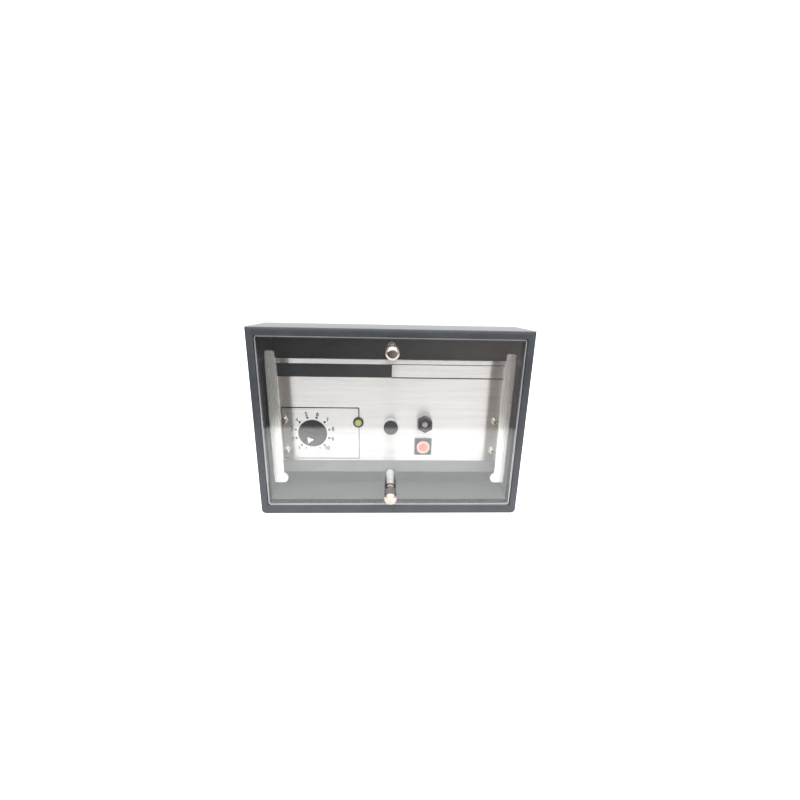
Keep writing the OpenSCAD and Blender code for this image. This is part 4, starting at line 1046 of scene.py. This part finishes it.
screw_low, screw_high = edges_of("panel_screws")
screw_x = screw_high[0] - PANEL_HEAD_R
panel_spots = [(x, z) for x in (-screw_x, screw_x)
               for z in (screw_low[2] + PANEL_HEAD_R, screw_high[2] - PANEL_HEAD_R)]
profile = pan_head(PANEL_HEAD_R, PANEL_Y - screw_low[1], PANEL_Y, 1, PANEL_SHANK_R,
                   screw_high[1] - PANEL_Y)
heads = [lathe(profile, spot) for spot in panel_spots]
slots = [slot_bar(spot, PANEL_HEAD_R, screw_low[1], 1, PANEL_SLOT_TURN + PANEL_SLOT_STEP * i,
                  PANEL_SLOT_W) for i, spot in enumerate(panel_spots)]
piece("panel_screw_heads", heads, "drawout", "nickel", look="warm_nickel",
      replaces=("panel_screws",))
piece("panel_screw_slots", slots, "drawout", "nickel", look="slot_shade")
print("panel screws", len(panel_spots))

# %% [markdown]
# The terminal screws look to the rear, eight on each block. Their slots stand at different turns,
# as a screwdriver leaves them.

# %% Terminal screws
TERMINAL_N, TERMINAL_HEAD_T, TERMINAL_SHANK_R = 8, 2.6, 2.0
TERMINAL_SLOT_W, TERMINAL_SLOT_TURN, TERMINAL_SLOT_STEP = 1.0, 0.3, 0.8

terminal_spots = []
for side in ("upper", "lower"):
    low, high = edges_of("terminal_screws_" + side)
    head_r, height = (high[2] - low[2]) / 2, (low[2] + high[2]) / 2
    seat = high[1] - TERMINAL_HEAD_T
    spots = [(x, height) for x in np.linspace(low[0] + head_r, high[0] - head_r, TERMINAL_N)]
    profile = pan_head(head_r, TERMINAL_HEAD_T, seat, -1, TERMINAL_SHANK_R, seat - low[1])
    heads = [lathe(profile, spot, count=SMALL_ROUND) for spot in spots]
    piece("terminal_screw_heads_" + side, heads, "case", "nickel",
          replaces=("terminal_screws_" + side,))
    terminal_spots += spots
slots = [slot_bar(spot, head_r, high[1], -1, TERMINAL_SLOT_TURN + TERMINAL_SLOT_STEP * i,
                  TERMINAL_SLOT_W) for i, spot in enumerate(terminal_spots)]
piece("terminal_screw_slots", slots, "case", "nickel", look="slot_shade")
print("terminal screws", len(terminal_spots))

# %% [markdown]
# The four studs that hold the bezel to a switchboard carry a real thread: the radius falls and
# rises once per pitch along the stud, and the pattern climbs one pitch for each turn round it. Their
# heads lie in the bezel's well and are painted black with it, so they are a piece of their own.

# %% Threaded studs
stud_low, stud_high = edges_of("mounting_studs")
STUD_R, STUD_HEAD_R, STUD_NECK_R = 2.4, 2.9, 2.6
STUD_HEAD_T, STUD_BEVEL = 1.4, 0.6
STUD_SIDES = 32
PITCH, THREAD_DEPTH = 0.8, 0.16
THREAD_START, PITCH_STEPS = 0.4, 8


def stud_head(centre):
    """A flat head and the plain neck that fills the web behind it."""
    face, seat = stud_low[1], stud_low[1] + STUD_HEAD_T
    profile = [(0, face), (STUD_HEAD_R, face), (STUD_HEAD_R, seat), (STUD_NECK_R, seat),
               (STUD_NECK_R, MOUNT_Y), (0, MOUNT_Y)]
    return lathe(profile, centre, count=SMALL_ROUND)


def thread(depth, angle):
    """Share of the radius: it falls and rises once per pitch and climbs one pitch per turn."""
    climb = (depth / PITCH - angle / (2 * np.pi)) % 1.0
    on_thread = (depth >= THREAD_START) & (depth < stud_high[1])
    return 1 - on_thread * THREAD_DEPTH * np.abs(2 * climb - 1)


def stud(centre):
    """A threaded length with a bevelled tip, from the web's back."""
    rows = np.arange(THREAD_START, stud_high[1] - STUD_BEVEL, PITCH / PITCH_STEPS)
    profile = [(0, MOUNT_Y), (STUD_R, MOUNT_Y), *((STUD_R, y) for y in rows),
               (STUD_R - STUD_BEVEL, stud_high[1]), (0, stud_high[1])]
    return lathe(profile, centre, count=STUD_SIDES, ripple=thread)


stud_x, stud_z = stud_high[0] - STUD_HEAD_R, stud_high[2] - STUD_HEAD_R
stud_spots = [(x, z) for x in (-stud_x, stud_x) for z in (-stud_z, stud_z)]
studs = [stud(spot) for spot in stud_spots]
heads = [stud_head(spot) for spot in stud_spots]
piece("threaded_studs", studs, "case", "zinc_steel", replaces=("mounting_studs",))
piece("stud_heads", heads, "case", "zinc_steel", look="black_steel")
print("studs", len(studs), "rows", studs[0].shape[0])
